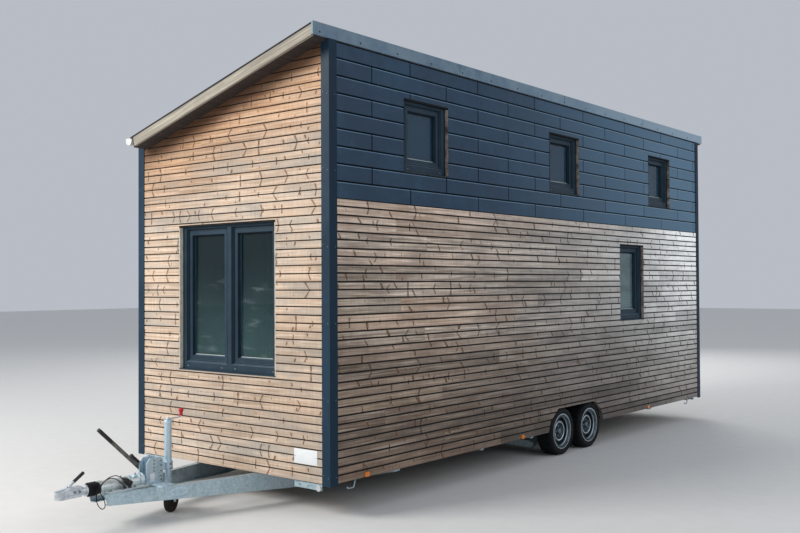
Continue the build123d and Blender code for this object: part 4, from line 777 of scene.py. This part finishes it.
spline.use_endpoint_u = True
cable = add_object("trailer_cable", curve)
cable.data.materials.append(cable_rubber)
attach(cable, "house")
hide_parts("plug_cable")
tuple(cable_points[0])

# Cable gland: a stepped sleeve where the cable leaves the housing
bm = bmesh.new()
exit_way = (cable_points[1] - cable_points[0]).normalized()
sleeve = [
    (0.0098, 0), (0.0098, 0.009), (0.0088, 0.010), (0.0088, 0.013), (0.0078, 0.014), (0.0070, 0.020),
    (0.0056, 0.021), (0.0060, 0.026), (0.0046, 0.027), (0.0050, 0.033), (0.0040, 0.036), (0.0037, 0.040),
]
lathe(bm, cable_points[0] - exit_way * 0.012, exit_way, sleeve, 24)
piece("cable_gland", bm, [black_plastic], "house")


# Boards and sheets laid in rows
def clip_chain(chain, lo, hi):
    """The part of a front profile, a list of (height, depth), between two heights."""
    out = []
    for (z0, d0), (z1, d1) in zip(chain, chain[1:]):
        if z1 < lo or z0 > hi:
            continue
        for z, d in ((z0, d0), (z1, d1)):
            if lo <= z <= hi:
                point = (z, d)
            else:
                edge = lo if z < lo else hi
                share = (edge - z0) / (z1 - z0) if z1 > z0 else 0
                point = (edge, d0 + (d1 - d0) * share)
            if not out or point != out[-1]:
                out.append(point)
    return out


def carve(parts, holes):
    """Cuts holes out of strips. A strip is (left end, right end, low, high), the ends as functions of height."""
    for h_left, h_right, h_low, h_high in holes:
        kept = []
        for left, right, low, high in parts:
            if h_high <= low or h_low >= high:
                kept.append((left, right, low, high))
                continue
            if low < h_low:
                kept.append((left, right, low, h_low))
            if high > h_high:
                kept.append((left, right, h_high, high))
            a, b = max(low, h_low), min(high, h_high)
            before = (left, lambda z, l=left, r=right, e=h_left: max(l(z), min(r(z), e(z))), a, b)
            after = (lambda z, l=left, r=right, e=h_right: min(r(z), max(l(z), e(z))), right, a, b)
            for part in (before, after):
                if max(part[1](a) - part[0](a), part[1](b) - part[0](b)) > 0.004:
                    kept.append(part)
        parts = kept
    return [p for p in parts if p[3] - p[2] > 0.0008]


def lay(shape, place, chain, back, left, right, holes, kinds, grain_at=(0, 0, 0), tone=(1, 0, 0)):
    """One board: its profile from end to end, cut round the holes. Kinds gives the material by depth and height."""
    low, high = chain[0][0], chain[-1][0]
    for a, b, z0, z1 in carve([(lambda z: left, lambda z: right, low, high)], holes):
        profile = clip_chain(chain, z0, z1)
        if len(profile) < 2:
            continue
        ring = [(profile[0][0], back)] + profile + [(profile[-1][0], back)]
        n = len(ring)
        verts, grain = [], []
        for end in (a, b):
            for z, d in ring:
                u = end(z)
                verts.append(place(u, z, d))
                grain.append((u + grain_at[0], z - low + grain_at[1] + (0.04 - d), grain_at[2]))
        faces = [(i, (i + 1) % n, n + (i + 1) % n, n + i) for i in range(n)]
        faces += [tuple(range(n)), tuple(range(n, 2 * n))[::-1]]
        shape.add(verts, faces, grain, tone, [kinds(ring[i], ring[(i + 1) % n]) for i in range(n)] + [0, 0])


def box_hole(u0, u1, z0, z1):
    return (lambda z: u0, lambda z: u1, z0, z1)


def all_dark(a, b):
    """The material of a backing: the dark joint wood, as painted shade behind the gaps."""
    return 1


def double_board(z, proud, gap):
    """The profile of a board with a groove along its middle, so that it looks like two strips."""
    face = BOARD_FACE + proud
    low, high, top = z + GROOVE - gap / 2, z + GROOVE + gap / 2, z + BOARD - gap
    return [
        (z, BOARD_EDGE),
        (z + 0.0025, face),
        (low - 0.0023, face),
        (low - 0.0001, face - 0.0020),
        (low, GROOVE_FLOOR),
        (high, GROOVE_FLOOR),
        (high + 0.0001, face - 0.0020),
        (high + 0.0023, face),
        (top - 0.0025, face),
        (top, BOARD_EDGE),
        (top + 0.0001, GROOVE_FLOOR),
        (z + BOARD - 0.0003, GROOVE_FLOOR),
    ]


def groove(a, b):
    """The material of a board's face: the dark joint wood, as painted shade, where it lies in the groove."""
    return 1 if min(a[1], b[1]) < GROOVE_FLOOR + 0.001 and abs(a[0] - b[0]) < 0.02 else 0


def clad(wall, place, start, stop, holes, seed, rows, materials, gap, spread, warmth):
    """Board cladding on one wall, over a backing in the dark joint wood that paints the shade behind the gaps."""
    chance = random.Random(seed)
    shape = Shape()
    for row in range(rows):
        z = SKIRT + BOARD * row + gap / 2
        joints = [start]
        u = start + chance.uniform(0.5, 3.4)
        while u < stop - 0.35:
            joints.append(u)
            u += chance.uniform(2.1, 4.2)
        joints.append(stop)
        for u0, u1 in zip(joints, joints[1:]):
            tone = (
                min(1.0 + 1.5 * spread, max(1.0 - 2 * spread, chance.gauss(1.0, spread))),
                chance.random(),
                max(0.0, chance.random() - 0.70) * warmth,
            )
            chain = double_board(z, chance.uniform(-0.0004, 0.0004), gap)
            at = (chance.uniform(0, 60), 0, chance.uniform(0, 90))
            left = u0 + (0.0007 if u0 > start else 0)
            right = u1 - (0.0007 if u1 < stop else 0)
            lay(shape, place, chain, BOARD_BACK, left, right, holes, groove, at, tone)
    top = SKIRT + BOARD * rows
    lay(shape, place, [(SKIRT + 0.003, BACKING), (top - 0.002, BACKING)], 0.0, start, stop, holes, all_dark)
    shape.make(f"boards_{wall}_wall", materials, [f"{wall}_cladding"])


def lip(a, b):
    """The material of a panel's face: a lighter copy of the paint on the folded lip along its top, as painted
    highlight.
    """
    return 2 if b[0] - a[0] > 0.0005 and a[1] - b[1] > 0.0012 else 0


PANEL, PANEL_LENGTH, PANEL_GAP, PANEL_EDGE = 0.1437, 1.063, 0.0064, 0.026


def panel_wall(wall, place, start, stop, rows, top, holes, seed):
    """Metal cassettes in staggered rows, with open joints over a dark backing."""
    chance = random.Random(seed)
    shape = Shape()
    for row in range(rows):
        z = TIMBER_TOP - 0.003 + PANEL * row + 0.0045
        high = z + PANEL - 0.0132
        u = 0.0 if row % 2 == 0 else -0.523
        while u < stop:
            u0, u1 = max(start, u + PANEL_GAP), min(stop, u + PANEL_LENGTH - PANEL_GAP)
            u += PANEL_LENGTH
            if u1 - u0 < 0.02:
                continue
            face = 0.0350 + chance.uniform(-0.0006, 0.0006)
            tone = (chance.uniform(0.94, 1.06), 0, 0)
            chain = [
                (z, PANEL_EDGE), (z + 0.0006, face - 0.0016), (z + 0.0022, face),
                (high - 0.0078, face), (high - 0.0006, face - 0.0030), (high, PANEL_EDGE),
            ]
            lay(shape, place, chain, BOARD_BACK, u0, u1, holes, lip, tone=tone)
    lay(shape, place, [(TIMBER_TOP, BACKING), (top, BACKING)], 0.0, start, stop, holes, all_dark)
    shape.make(f"panels_{wall}_wall", [slate_panels, gasket, slate_lip_highlight], [f"{wall}_panels"])


# The walls: a point of each by its way along, height and depth, and the holes in them
def on_front(u, z, d):
    return (u, FRONT + WALL_OUT - d, z)


def on_rear(u, z, d):
    return (u, REAR - WALL_OUT + d, z)


def on_right(u, z, d):
    return (CORE + d, FRONT + u, z)


def on_left(u, z, d):
    return (-CORE - d, FRONT + u, z)


ARCH_MIDDLE, ARCH_BEND, ARCH_TOP = 4.055, SKIRT + 0.120, SKIRT + 0.243


def arch_half(z):
    """Half the wheel arch's width at a height."""
    if z < ARCH_BEND:
        return 0.630 - 0.045 * (z - SKIRT) / 0.120
    return 0.585 - 0.165 * (z - ARCH_BEND) / 0.123


arch = [
    (lambda z: ARCH_MIDDLE - arch_half(z), lambda z: ARCH_MIDDLE + arch_half(z), low, high)
    for low, high in ((0.0, ARCH_BEND), (ARCH_BEND, ARCH_TOP))
]
above_roof = box_hole(-BEYOND, BEYOND, soffit(CORE) - 0.004, BEYOND)
gable = [(lambda z: -BEYOND, soffit_x, soffit(-1.130), BEYOND), above_roof]
front_hole = box_hole(-0.654, 0.642, SKIRT + 0.836, SKIRT + 2.168)
rear_hole = box_hole(-0.632, 0.664, SKIRT + 0.836, SKIRT + 2.168)
low_window = box_hole(5.150, 5.814, SKIRT + 1.150, SKIRT + 2.092)
HIGH_STARTS = (0.971, 3.487, 5.987)
small_windows = [box_hole(s, s + 0.660, SKIRT + 2.607, SKIRT + 3.266) for s in HIGH_STARTS]
doorway = box_hole(1.500, 2.460, SKIRT + 0.130, SKIRT + 2.210)
side_ends = (0.005, 7.609)

end_look = dict(rows=27, materials=[front_boards, front_joint_shade], gap=0.0096, spread=0.045, warmth=0.9)
side_look = dict(rows=17, materials=[side_boards, side_joint_shade], gap=0.0136, spread=0.15, warmth=1.2)
clad("front", on_front, -CORE, CORE, [front_hole] + gable, 11, **end_look)
clad("rear", on_rear, -CORE, CORE, [rear_hole] + gable, 23, **end_look)
clad("right", on_right, *side_ends, [low_window] + arch, 37, **side_look)
clad("left", on_left, *side_ends, [low_window, doorway] + arch, 41, **side_look)
panel_wall("right", on_right, *side_ends, 9, soffit(CORE) - 0.002, small_windows + [above_roof], 5)
panel_wall("left", on_left, *side_ends, 5, 3.243, [box_hole(-BEYOND, BEYOND, 3.244, BEYOND)], 6)


# Windows
RECESS, FRAME, MULLION, SASH, SET_BACK, PANE_BACK = 0.040, 0.064, 0.064, 0.0563, 0.022, 0.034
HEAD_COVER, SILL_DROP = 0.030, 0.012
PAINT, SEAL, EDGE_HIGHLIGHT, CAP, SPACER = range(5)
PANE = -2 * SASH
# Slopes and seals of a leaf: the face it lies on, its size beyond the leaf's opening outside and inside, its depth
# outside and inside, its material, or one for each side, and the material of its lower slope. Most lower slopes take
# the lighter paint as painted highlight; the spacer ring is black on its right side and top as painted shade
LEAF_RINGS = [
    ("frame", 0.010, 0.003, 0.0024, 0.0006, PAINT, EDGE_HIGHLIGHT),
    ("sash", 0.0, -0.018, 0.0170, 0.0022, PAINT, EDGE_HIGHLIGHT),
    ("sash", -0.018, -0.025, 0.0016, 0.0016, SEAL, SEAL),
    ("sash", -0.030, -0.040, 0.0012, 0.0030, PAINT, EDGE_HIGHLIGHT),
    ("pane", PANE, PANE - 0.016, PANE_BACK - 0.006, 0.0045, PAINT, EDGE_HIGHLIGHT),
    ("pane", PANE - 0.016, PANE - 0.0272, 0.0044, 0.0044, (SPACER, SEAL, SEAL, EDGE_HIGHLIGHT), SPACER),
    ("pane", PANE - 0.024, PANE - 0.033, 0.0022, 0.0022, SEAL, SEAL),
]


def mitred_ring(bm, centre, along, out, size, inner, depths, kind, slope_kind):
    """Four mitred strips that slope from an outer rectangle to an inner one, each at its depth."""
    outer, inside = ([(-w / 2, -h / 2), (w / 2, -h / 2), (w / 2, h / 2), (-w / 2, h / 2)] for w, h in (size, inner))
    for i in range(4):
        j = (i + 1) % 4
        own = kind[i] if isinstance(kind, tuple) else kind
        low = [bm.verts.new(centre + along * x + Z * z) for x, z in (outer[i], outer[j], inside[j], inside[i])]
        deep = (depths[0], depths[0], depths[1], depths[1])
        high = [bm.verts.new(v.co + out * d) for v, d in zip(low, deep)]
        skin(bm, [low, high], own)
        if i == 0:
            bm.faces.ensure_lookup_table()
            bm.faces[-1].material_index = slope_kind


def window(name, middle, along, out, width, height, leaves, cover):
    """Trim, foam strips and inside handle. Cover is how far the cladding hides the frame on one side."""
    axes = (along, out, Z)
    face = middle - out * RECESS
    room = (width - 2 * FRAME - (leaves - 1) * MULLION) / leaves
    tall = height - 2 * FRAME
    hole = face - along * (cover / 2)
    hole_half = (width - cover) / 2
    hole_top, hole_bottom = height / 2 - HEAD_COVER, -height / 2 - SILL_DROP
    hole_tall, hole_mid = hole_top - hole_bottom, (hole_top + hole_bottom) / 2
    bm = bmesh.new()
    # black profile at the head of the cladding, and black blocks in the joints beside the frame, as painted shade in
    # the gap
    at = hole + Z * (hole_top - 0.0075) + out * 0.0165
    block(bm, at, (2 * hole_half, 0.032, 0.0145), axes, 0.0006, 1, SEAL)
    for side in (-1, 1):
        at = hole + along * side * (hole_half - 0.0008) + out * 0.0245 + Z * hole_mid
        block(bm, at, (0.0030, 0.023, hole_tall - 0.002), axes, kind=SEAL)
    # the frame's rounded step, the slope to the sash with its seal, the glazing bead and the glass seals
    faces = {"frame": face, "sash": face - out * SET_BACK, "pane": face - out * (SET_BACK + PANE_BACK)}
    for i in range(leaves):
        shift = along * ((i - (leaves - 1) / 2) * (room + MULLION))
        for where, outer, inner, deep, deep_inside, kind, slope_kind in LEAF_RINGS:
            sizes = [(room + more, tall + more) for more in (outer, inner)]
            mitred_ring(bm, faces[where] + shift, along, out, *sizes, (deep, deep_inside), kind, slope_kind)
    # drainage caps on the lower frame
    for share in (-0.435, -0.076, 0.061, 0.432) if leaves == 2 else (-0.36, 0.36):
        at = face + along * (share * width) - Z * (height / 2 - 0.026) + out * 0.0015
        block(bm, at, (0.026, 0.003, 0.007), axes, 0.0012, kind=CAP)
    materials = [window_paint, gasket, window_edge_highlight, cap_plastic, spacer_metal]
    piece(f"window_{name}_trim", bm, materials, "house", sharp=25)
    # foam strips in the joint beside the frame
    bm = bmesh.new()
    strip = 0.0080 if leaves == 2 else 0.0034
    for side in (-1, 1) if leaves == 2 else (1,):
        at = hole + along * side * (hole_half - 0.0035 - strip / 2) + out * 0.0205 + Z * (hole_mid - 0.004)
        block(bm, at, (strip, 0.0330, hole_tall - 0.034), axes, 0.0022)
    piece(f"window_{name}_foam", bm, [foam if leaves == 2 else foam_brown], "house")
    # handle inside, seen through the glass
    bm = bmesh.new()
    hand = MULLION / 2 + 0.030 if leaves == 2 else room / 2 - 0.030
    grip = face + along * hand - out * (SET_BACK + 0.068)
    block(bm, grip - out * 0.006, (0.026, 0.010, 0.062), axes, 0.004, 3)
    block(bm, grip - out * 0.030 - Z * 0.045, (0.018, 0.012, 0.120), axes, 0.005, 3)
    block(bm, grip - out * 0.020, (0.016, 0.030, 0.016), axes, 0.004, 3)
    piece(f"window_{name}_handle", bm, [white_metal], "house")


END_WINDOW = (1.318, 1.350, 2, 0.022)
LOW_WINDOW = (0.664, 0.960, 1, 0.0)
end_height, low_y, low_height = SKIRT + 0.848 + 0.675, FRONT + 5.150 + 0.332, SKIRT + 1.162 + 0.480
window("front", Vector((0.005, FRONT + 0.005, end_height)), X, -Y, *END_WINDOW)
window("rear", Vector((0.005, REAR - 0.005, end_height)), -X, Y, *END_WINDOW)
for i, start in enumerate(HIGH_STARTS):
    middle = Vector((FACE, FRONT + start + 0.330, SKIRT + 2.619 + 0.3385))
    window(f"high_{i + 1}", middle, Y, X, 0.660, 0.677, 1, 0.0)
window("low_right", Vector((FACE, low_y, low_height)), Y, X, *LOW_WINDOW)
window("low_left", Vector((-FACE, low_y, low_height)), -Y, -X, *LOW_WINDOW)

# Corner trim rivets
bm = bmesh.new()
for sx in (-1, 1):
    top = 3.80 if sx > 0 else 3.18
    for sy, y_face in ((-1, FRONT), (1, REAR)):
        z = 0.34
        while z < top:
            screw(bm, (sx * (HALF - 0.022), y_face, z), (0, sy, 0), 0.0042, 0.0018)
            screw(bm, (sx * (HALF - 0.072), y_face, z + 0.02), (0, sy, 0), 0.0042, 0.0018)
            screw(bm, (sx * HALF, y_face - sy * 0.070, z), (sx, 0, 0), 0.0042, 0.0018)
            z += 0.62
piece("corner_trim_screws", bm, [screw_blue], "house")

# Fascia screws and joints
bm = bmesh.new()
y = FRONT - 0.10
while y < REAR + 0.12:
    screw(bm, (HALF - 0.003, y, SOFFIT + 0.030), (1, 0, 0), 0.0085, 0.003)
    y += 0.49
for y in (FRONT + 1.82, FRONT + 3.82, FRONT + 5.82):
    block(bm, (HALF - 0.0025, y, SOFFIT + 0.056), (0.0022, 0.003, 0.088), bevel=0.0006, kind=1)
piece("fascia_screws", bm, [screw_dark, slate_trim], "house")

# Bare plate on the front wall
bm = bmesh.new()
plate_mid = Vector((0.9955, FRONT + 0.0035, 0.486))
block(bm, plate_mid, (0.265, 0.003, 0.122), bevel=0.001)
for u in (-0.118, 0.118):
    screw(bm, plate_mid + Vector((u, -0.0015, 0)), (0, -1, 0), 0.004, 0.002, kind=1)
piece("bare_plate", bm, [white_metal, screw_steel], "house")


# Wheels: half the tyre's profile from the bead to the tread's middle, as (way outwards, radius)
TYRE_HALF = [
    (0.084, 0.1682), (0.0845, 0.190), (0.0900, 0.1965), (0.0935, 0.2020), (0.0915, 0.2050), (0.0945, 0.2120),
    (0.0966, 0.2200), (0.0974, 0.2260), (0.0960, 0.2300), (0.0960, 0.2360), (0.0935, 0.2420), (0.0885, 0.2490),
    (0.0830, 0.2540), (0.0740, 0.2575), (0.0600, 0.2592), (0.0580, 0.2530), (0.0520, 0.2530), (0.0500, 0.2595),
    (0.0240, 0.2600), (0.0220, 0.2535), (0.0160, 0.2535), (0.0140, 0.2600),
]
TREAD_STEPS = 168


def tread_depth(i, dx, r):
    """How deep a cross cut of the tread is at a step round the tyre: on its shoulders, then its middle blocks."""
    if 0.060 < abs(dx) < 0.090 and r > 0.245 and i % 4 == 0:
        return 0.0052
    if abs(dx) < 0.0505 and r > 0.2585 and (i + (1 if dx > 0 else 0)) % 6 == 0:
        return 0.0040
    return 0.0


def tyre_piece(wheel, side, y):
    """A tyre with three grooves, shoulder blocks, rim protector and ribbed side walls."""
    profile = [(-a, b) for a, b in TYRE_HALF] + TYRE_HALF[::-1]
    bm = bmesh.new()
    rows = []
    for i in range(TREAD_STEPS):
        a = 2 * math.pi * i / TREAD_STEPS
        row = []
        for dx, r in profile:
            r -= tread_depth(i, dx, r)
            at = (side * WHEEL_X + dx, y + r * math.sin(a), WHEEL_RADIUS + r * math.cos(a))
            row.append(bm.verts.new(at))
        rows.append(row)
    skin(bm, rows, closed=True)
    piece(f"tyre_tread_{wheel}", bm, [tyre_rubber], f"wheel_{wheel}", [f"tyre_{wheel}"], 28)


def rim_details(wheel, side, y):
    """Bolts, hub cap, valve and raised ring on a rim."""
    bm = bmesh.new()
    centre = Vector((side * WHEEL_X, y, WHEEL_RADIUS))
    out = X * side

    def around(angle, radius, reach):
        return centre + Vector((0, math.cos(angle), math.sin(angle))) * radius + out * reach

    for i in range(5):
        bolt(bm, around(2 * math.pi * (i + 0.5) / 5, 0.056, 0.033), out, 0.0105, 0.015)
    raised = [(0.0950, 0), (0.0950, 0.0022), (0.0985, 0.0046), (0.1020, 0.0046), (0.1055, 0.0022), (0.1055, 0)]
    lathe(bm, centre + out * 0.0515, out, raised, 72, kind=2, ring=True)
    cap = [(0.0285, 0.0), (0.0285, 0.006), (0.0265, 0.009), (0.0180, 0.0115), (0, 0.0125)]
    lathe(bm, centre + out * 0.050, out, cap, 40)
    valve = [(0.006, 0), (0.006, 0.006), (0.0042, 0.008), (0.0042, 0.030), (0.003, 0.033), (0, 0.033)]
    lathe(bm, around(math.radians(200), 0.139, 0.042), out, valve, 16, kind=1)
    piece(f"rim_bolts_{wheel}", bm, [hub_grey, black_plastic, casting], f"wheel_{wheel}")


for place_name, wheel_y in zip(("front", "rear"), WHEEL_YS):
    for side_name, side in (("left", -1), ("right", 1)):
        tyre_piece(f"{place_name}_{side_name}", side, wheel_y)
        rim_details(f"{place_name}_{side_name}", side, wheel_y)

# Bellows with its folds, held by two bands
bm = bmesh.new()
folds, length, end_band = 4, 0.1036, 0.010
step = (length - 2 * end_band) / folds
fold = [(0.0405, 0), (0.0490, 0.14), (0.0535, 0.32), (0.0553, 0.5), (0.0535, 0.68), (0.0490, 0.86)]
profile = [(0.0262, 0.0), (0.046, 0.0), (0.0475, 0.0045), (0.046, 0.0075)]
for i in range(folds):
    profile += [(r, end_band + step * (i + share)) for r, share in fold]
profile += [(0.0425, length - end_band), (0.045, length - 0.0075), (0.045, length), (0.0262, length)]
lathe(bm, (0, -4.3433, 0.320), (0, -1, 0), profile, 56)
bellows = piece("bellows_folds", bm, [bellows_rubber], "house", ["bellows"], sharp=50)
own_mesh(bellows)

# Jockey wheel: the tube narrows below its clamp
JOCKEY = ahead(0, 616, 0)
bm = bmesh.new()
tube = [
    (0.0268, 0.308), (0.0268, 0.330), (0.0235, 0.333), (0.0235, 0.380), (0.0285, 0.398), (0.0300, 0.402),
    (0.0300, 0.742), (0.0325, 0.744), (0.0335, 0.748), (0.0335, 0.772), (0.0318, 0.7748), (0.0105, 0.7748),
    (0.0105, 0.766), (0.0222, 0.765), (0.0222, 0.308),
]
lathe(bm, JOCKEY, Z, tube, 48, ring=True)
for angle in (0.4, 3.54):
    out = Vector((math.cos(angle), math.sin(angle), 0))
    bolt(bm, JOCKEY + out * 0.0335 + Z * 0.759, out, 0.0055, 0.004, washer=False)
piece("jockey_tube_turned", bm, [zinc_light], "jockey_outer", ["jockey_tube"], sharp=40)

# Its crank ends in a red knob
bm = bmesh.new()
boss = [(0.008, 0), (0.008, 0.070), (0.0138, 0.0712), (0.0138, 0.0835), (0.0105, 0.0885), (0.0060, 0.0895)]
lathe(bm, JOCKEY + Z * 0.7055, Z, boss)
bend = [(0.108 + 0.026 * math.sin(a), 0.7835 + 0.0185 * (1 - math.cos(a))) for a in (0, 0.4, 0.8, 1.2, 1.5)]
sweep(bm, [JOCKEY + Y * back + Z * z for back, z in [(0, 0.7835)] + bend + [(0.134, 0.815)]], 0.0058)
knob = [
    (0.0085, 0), (0.0140, 0.0015), (0.0160, 0.006), (0.0160, 0.015), (0.0135, 0.021), (0.0130, 0.025),
    (0.0175, 0.033), (0.0208, 0.041), (0.0214, 0.049), (0.0196, 0.056), (0.0135, 0.0610), (0, 0.0625),
]
lathe(bm, JOCKEY + Vector((0, 0.134, 0.7965)), Z, knob, 40, kind=1)
piece("jockey_crank_bent", bm, [zinc_light, red_plastic], "jockey_winder", ["jockey_crank"], sharp=45)

# Bracket: outer sheets with two columns of holes, a plain plate, and the clamp's bolts and rings
bm = bmesh.new()
edge = [(866, 300), (866, 444), (833, 486), (730, 486), (708, 465), (708, 300)]
hole_spots = [(794, z) for z in (467, 438, 408, 382, 352)] + [(724, z) for z in (455, 421, 374, 334, 303)]
hole_cap = [(0.0058, -0.001), (0.0058, 0.0003), (0, 0.0003)]
for side in (-1, 1):
    slab(bm, [ahead(side * 50.2, d, z) for d, z in edge], X * side, 0.0014)
    for d, z in hole_spots:
        lathe(bm, ahead(side * 51.6, d, z), X * side, hole_cap, 18, kind=1)
block(bm, ahead(53.0, 812, 331), (0.0026, 0.044, 0.066), bevel=0.0008, kind=3)
for rise in (0.016, -0.016):
    bolt(bm, JOCKEY + Vector((0.0405, -0.004, 0.397 + rise)), X, 0.0095, 0.009, kind=2)
clamp_ring = [(0.0305, -0.003), (0.0408, -0.003), (0.0408, 0.003), (0.0305, 0.003)]
for z in (0.3705, 0.4235):
    lathe(bm, JOCKEY + Z * z, Z, clamp_ring, 40, ring=True)
piece("bracket_sheets", bm, [zinc, gasket, screw_steel, white_metal], "house")

# Housing: bands, base bolts, grease nipples and the cast ribs of its flange
bm = bmesh.new()
for d, r, w in ((916, 0.0580, 0.008), (884, 0.0580, 0.008), (1008, 0.0520, 0.010), (1256, 0.0535, 0.012)):
    chamfer, deep = r - 0.0012, r - 0.010
    band = [(deep, 0), (chamfer, 0), (r, 0.0012), (r, w - 0.0012), (chamfer, w), (deep, w)]
    lathe(bm, ahead(0, d, 320), -Y, band, 56, ring=True)
for side in (-1, 1):
    for d in (1226, 1120, 1000, 905):
        bolt(bm, ahead(side * 84, d, 292), (0, 0, 1), 0.0105, 0.011, kind=1)
nipple = [(0.0065, 0), (0.0065, 0.005), (0.0036, 0.006), (0.0036, 0.010), (0.0050, 0.012), (0.0030, 0.016), (0, 0.017)]
for d in (1075, 940):
    lathe(bm, ahead(0, d, 369), Z, nipple, 20, kind=1)
for d in (962, 978):
    block(bm, ahead(20, d, 366), (0.052, 0.0045, 0.020), bevel=0.001, kind=0)
piece("housing_bands", bm, [zinc_light, screw_steel], "house")


# Drawbar: a raised bare oval on each web
def oval_bead(bm, centre, along, normal, half_u, half_v, r, steps=64):
    """A flattened round bead that runs along an ellipse."""
    turns = [2 * math.pi * i / steps for i in range(steps)]
    loop = [centre + along * math.cos(a) * half_u + Z * math.sin(a) * half_v for a in turns]
    rows = []
    for i, at in enumerate(loop):
        flat = normal.cross((loop[(i + 1) % steps] - loop[i - 1]).normalized()) * 1.6
        section = (0, 1.05, 2.1, 3.14, 4.19, 5.24)
        rows.append([bm.verts.new(at + (normal * math.cos(a) + flat * math.sin(a)) * r) for a in section])
    skin(bm, rows, closed=True)


bm = bmesh.new()
for side in (-1, 1):
    along, normal = Vector((side * 0.2278, 0.9737, 0)), Vector((side * 0.9737, -0.2278, 0))
    centre = ahead(side * 252, 701, 227) + normal * 0.0004
    oval_bead(bm, centre, along, normal, 0.0715, 0.0285, 0.0030)
    oval_bead(bm, centre, along, normal, 0.0610, 0.0190, 0.0018)
piece("drawbar_oval", bm, [zinc_light], "house", sharp=50)

# Coupling head: cross bolts, side ribs and the flat tongue on its nose
bm = bmesh.new()
ribs = [
    [(39.5, 1602, 300), (40.2, 1560, 305), (40.2, 1482, 306), (38.8, 1448, 308)],
    [(39.5, 1590, 338), (40.2, 1540, 352), (40.2, 1482, 354), (38.8, 1448, 350)],
]
for side in (-1, 1):
    for d in (1462, 1502):
        bolt(bm, ahead(side * 40.0, d, 326), X * side, 0.0090, 0.0068, kind=1)
    for rib in ribs:
        sweep(bm, [ahead(side * x, d, z) for x, d, z in rib], 0.0032, 10)
for half, d0, z0, d1, z1, thick in ((15, 1640, 346.5, 1604, 346.5, 0.007), (13, 1604, 346.5, 1558, 359.0, 0.009)):
    outline = [(-half, d0, z0), (half, d0, z0), (half, d1, z1), (-half, d1, z1)]
    slab(bm, [ahead(*p) for p in outline], Z, thick)
sweep(bm, [ahead(0, 1641, 330), ahead(0, 1641, 352)], 0.0075, 16)
piece("coupling_bolts", bm, [casting, screw_steel], "coupling", sharp=40)

# Handbrake lever: pin nut, ribbed grip and the strut's ends
bm = bmesh.new()
bolt(bm, lever_pivot - X * 0.0130, -X, 0.0125, 0.010)
grip_rib = [(0.0150, 0), (0.0168, 0.0012), (0.0168, 0.0062), (0.0150, 0.0074)]
for i in range(11):
    lathe(bm, lever_pivot + lever_way * (0.428 + i * 0.0125), lever_way, grip_rib, kind=1)
strut_end = [(0.0150, 0), (0.0164, 0.0015), (0.0164, 0.0095), (0.0150, 0.011)]
for reach in (0.022, 0.178):
    lathe(bm, lever_pivot + lever_normal * 0.027 + lever_way * reach, lever_way, strut_end, kind=1)
piece("lever_grip_ribs", bm, [screw_steel, black_plastic], "handbrake", sharp=40)

# Materials of the CAD nodes that stay
finish = [
    (floor_wood, "floor_deck"),
    (box_steel, "wheel_boxes"),
    (core_wood, "front_wall rear_wall right_wall left_wall"),
    (slate_trim, "corner_trims"),
    (soffit_shade_wood, "roof_deck"),
    (membrane, "roof_sheet"),
    (fascia_paint, "high_fascia"),
    (barge_wood, "bargeboards"),
    (gutter_paint, "gutter"),
    (window_paint, "window_frames window_sills window_sashes door_frame entrance_door"),
    (glass, "window_panes door_pane"),
    (zinc_rusty, "axles chassis_rails"),
    (zinc, "cross_members drawbar_beams corner_brackets lashing_loops"),
    (amber, "marker_lamps"),
    (red_lens, "rear_lamps"),
    (housing_zinc, "overrun_housing"),
    (casting, "coupling_head"),
    (handle_steel, "coupling_handle"),
    (lever_steel, "handbrake_lever"),
    (zinc_light, "jockey_bracket jockey_leg jockey_fork"),
    (jockey_rubber, "jockey_wheel"),
    (black_plastic, "plug_holder trailer_plug"),
    (rim_steel, "rim_front_left rim_front_right rim_rear_left rim_rear_right"),
]
for material, names in finish:
    for node in names.split():
        nodes[node].data.materials.clear()
        nodes[node].data.materials.append(material)

# Floor, light and world
floor_tree = Tree("studio_floor")
speckle = floor_tree.noise(floor_tree.place(), 6.0, 3.0)
floor_tree.set(Base_Color=floor_tree.mix(speckle, (212, 212, 210), (222, 222, 220)), Roughness=0.85)
floor_mesh = bpy.data.meshes.new("studio_floor")
floor_mesh.from_pydata([(-60, -60, 0), (60, -60, 0), (60, 60, 0), (-60, 60, 0)], [], [(0, 1, 2, 3)])
floor_mesh.materials.append(floor_tree.mat)
add_object("studio_floor", floor_mesh)

world = bpy.data.worlds.new("studio")
world.use_nodes = True
world.node_tree.nodes["Background"].inputs["Color"].default_value = (0.86, 0.91, 1.0, 1.0)
world.node_tree.nodes["Background"].inputs["Strength"].default_value = 0.56
bpy.context.scene.world = world


def area(name, at, towards, size, power, colour):
    data = bpy.data.lights.new(name, "AREA")
    data.shape = "RECTANGLE"
    data.size, data.size_y = size
    data.energy = power
    data.color = colour
    lamp = add_object(name, data)
    lamp.location = at
    lamp.rotation_euler = (Vector(towards) - Vector(at)).to_track_quat("-Z", "Y").to_euler()


area("key", (-5.5, -13.0, 8.5), (0, -1, 1.6), (7, 5), 1800, (1.0, 0.965, 0.92))
area("fill", (13.0, 1.0, 7.0), (0, 0.8, 1.6), (8, 6), 300, (0.90, 0.95, 1.0))
area("back", (-7.0, 13.0, 8.0), (0, 0.8, 1.6), (8, 6), 700, (1.0, 0.98, 0.95))

bpy.context.scene.view_settings.view_transform = "Standard"
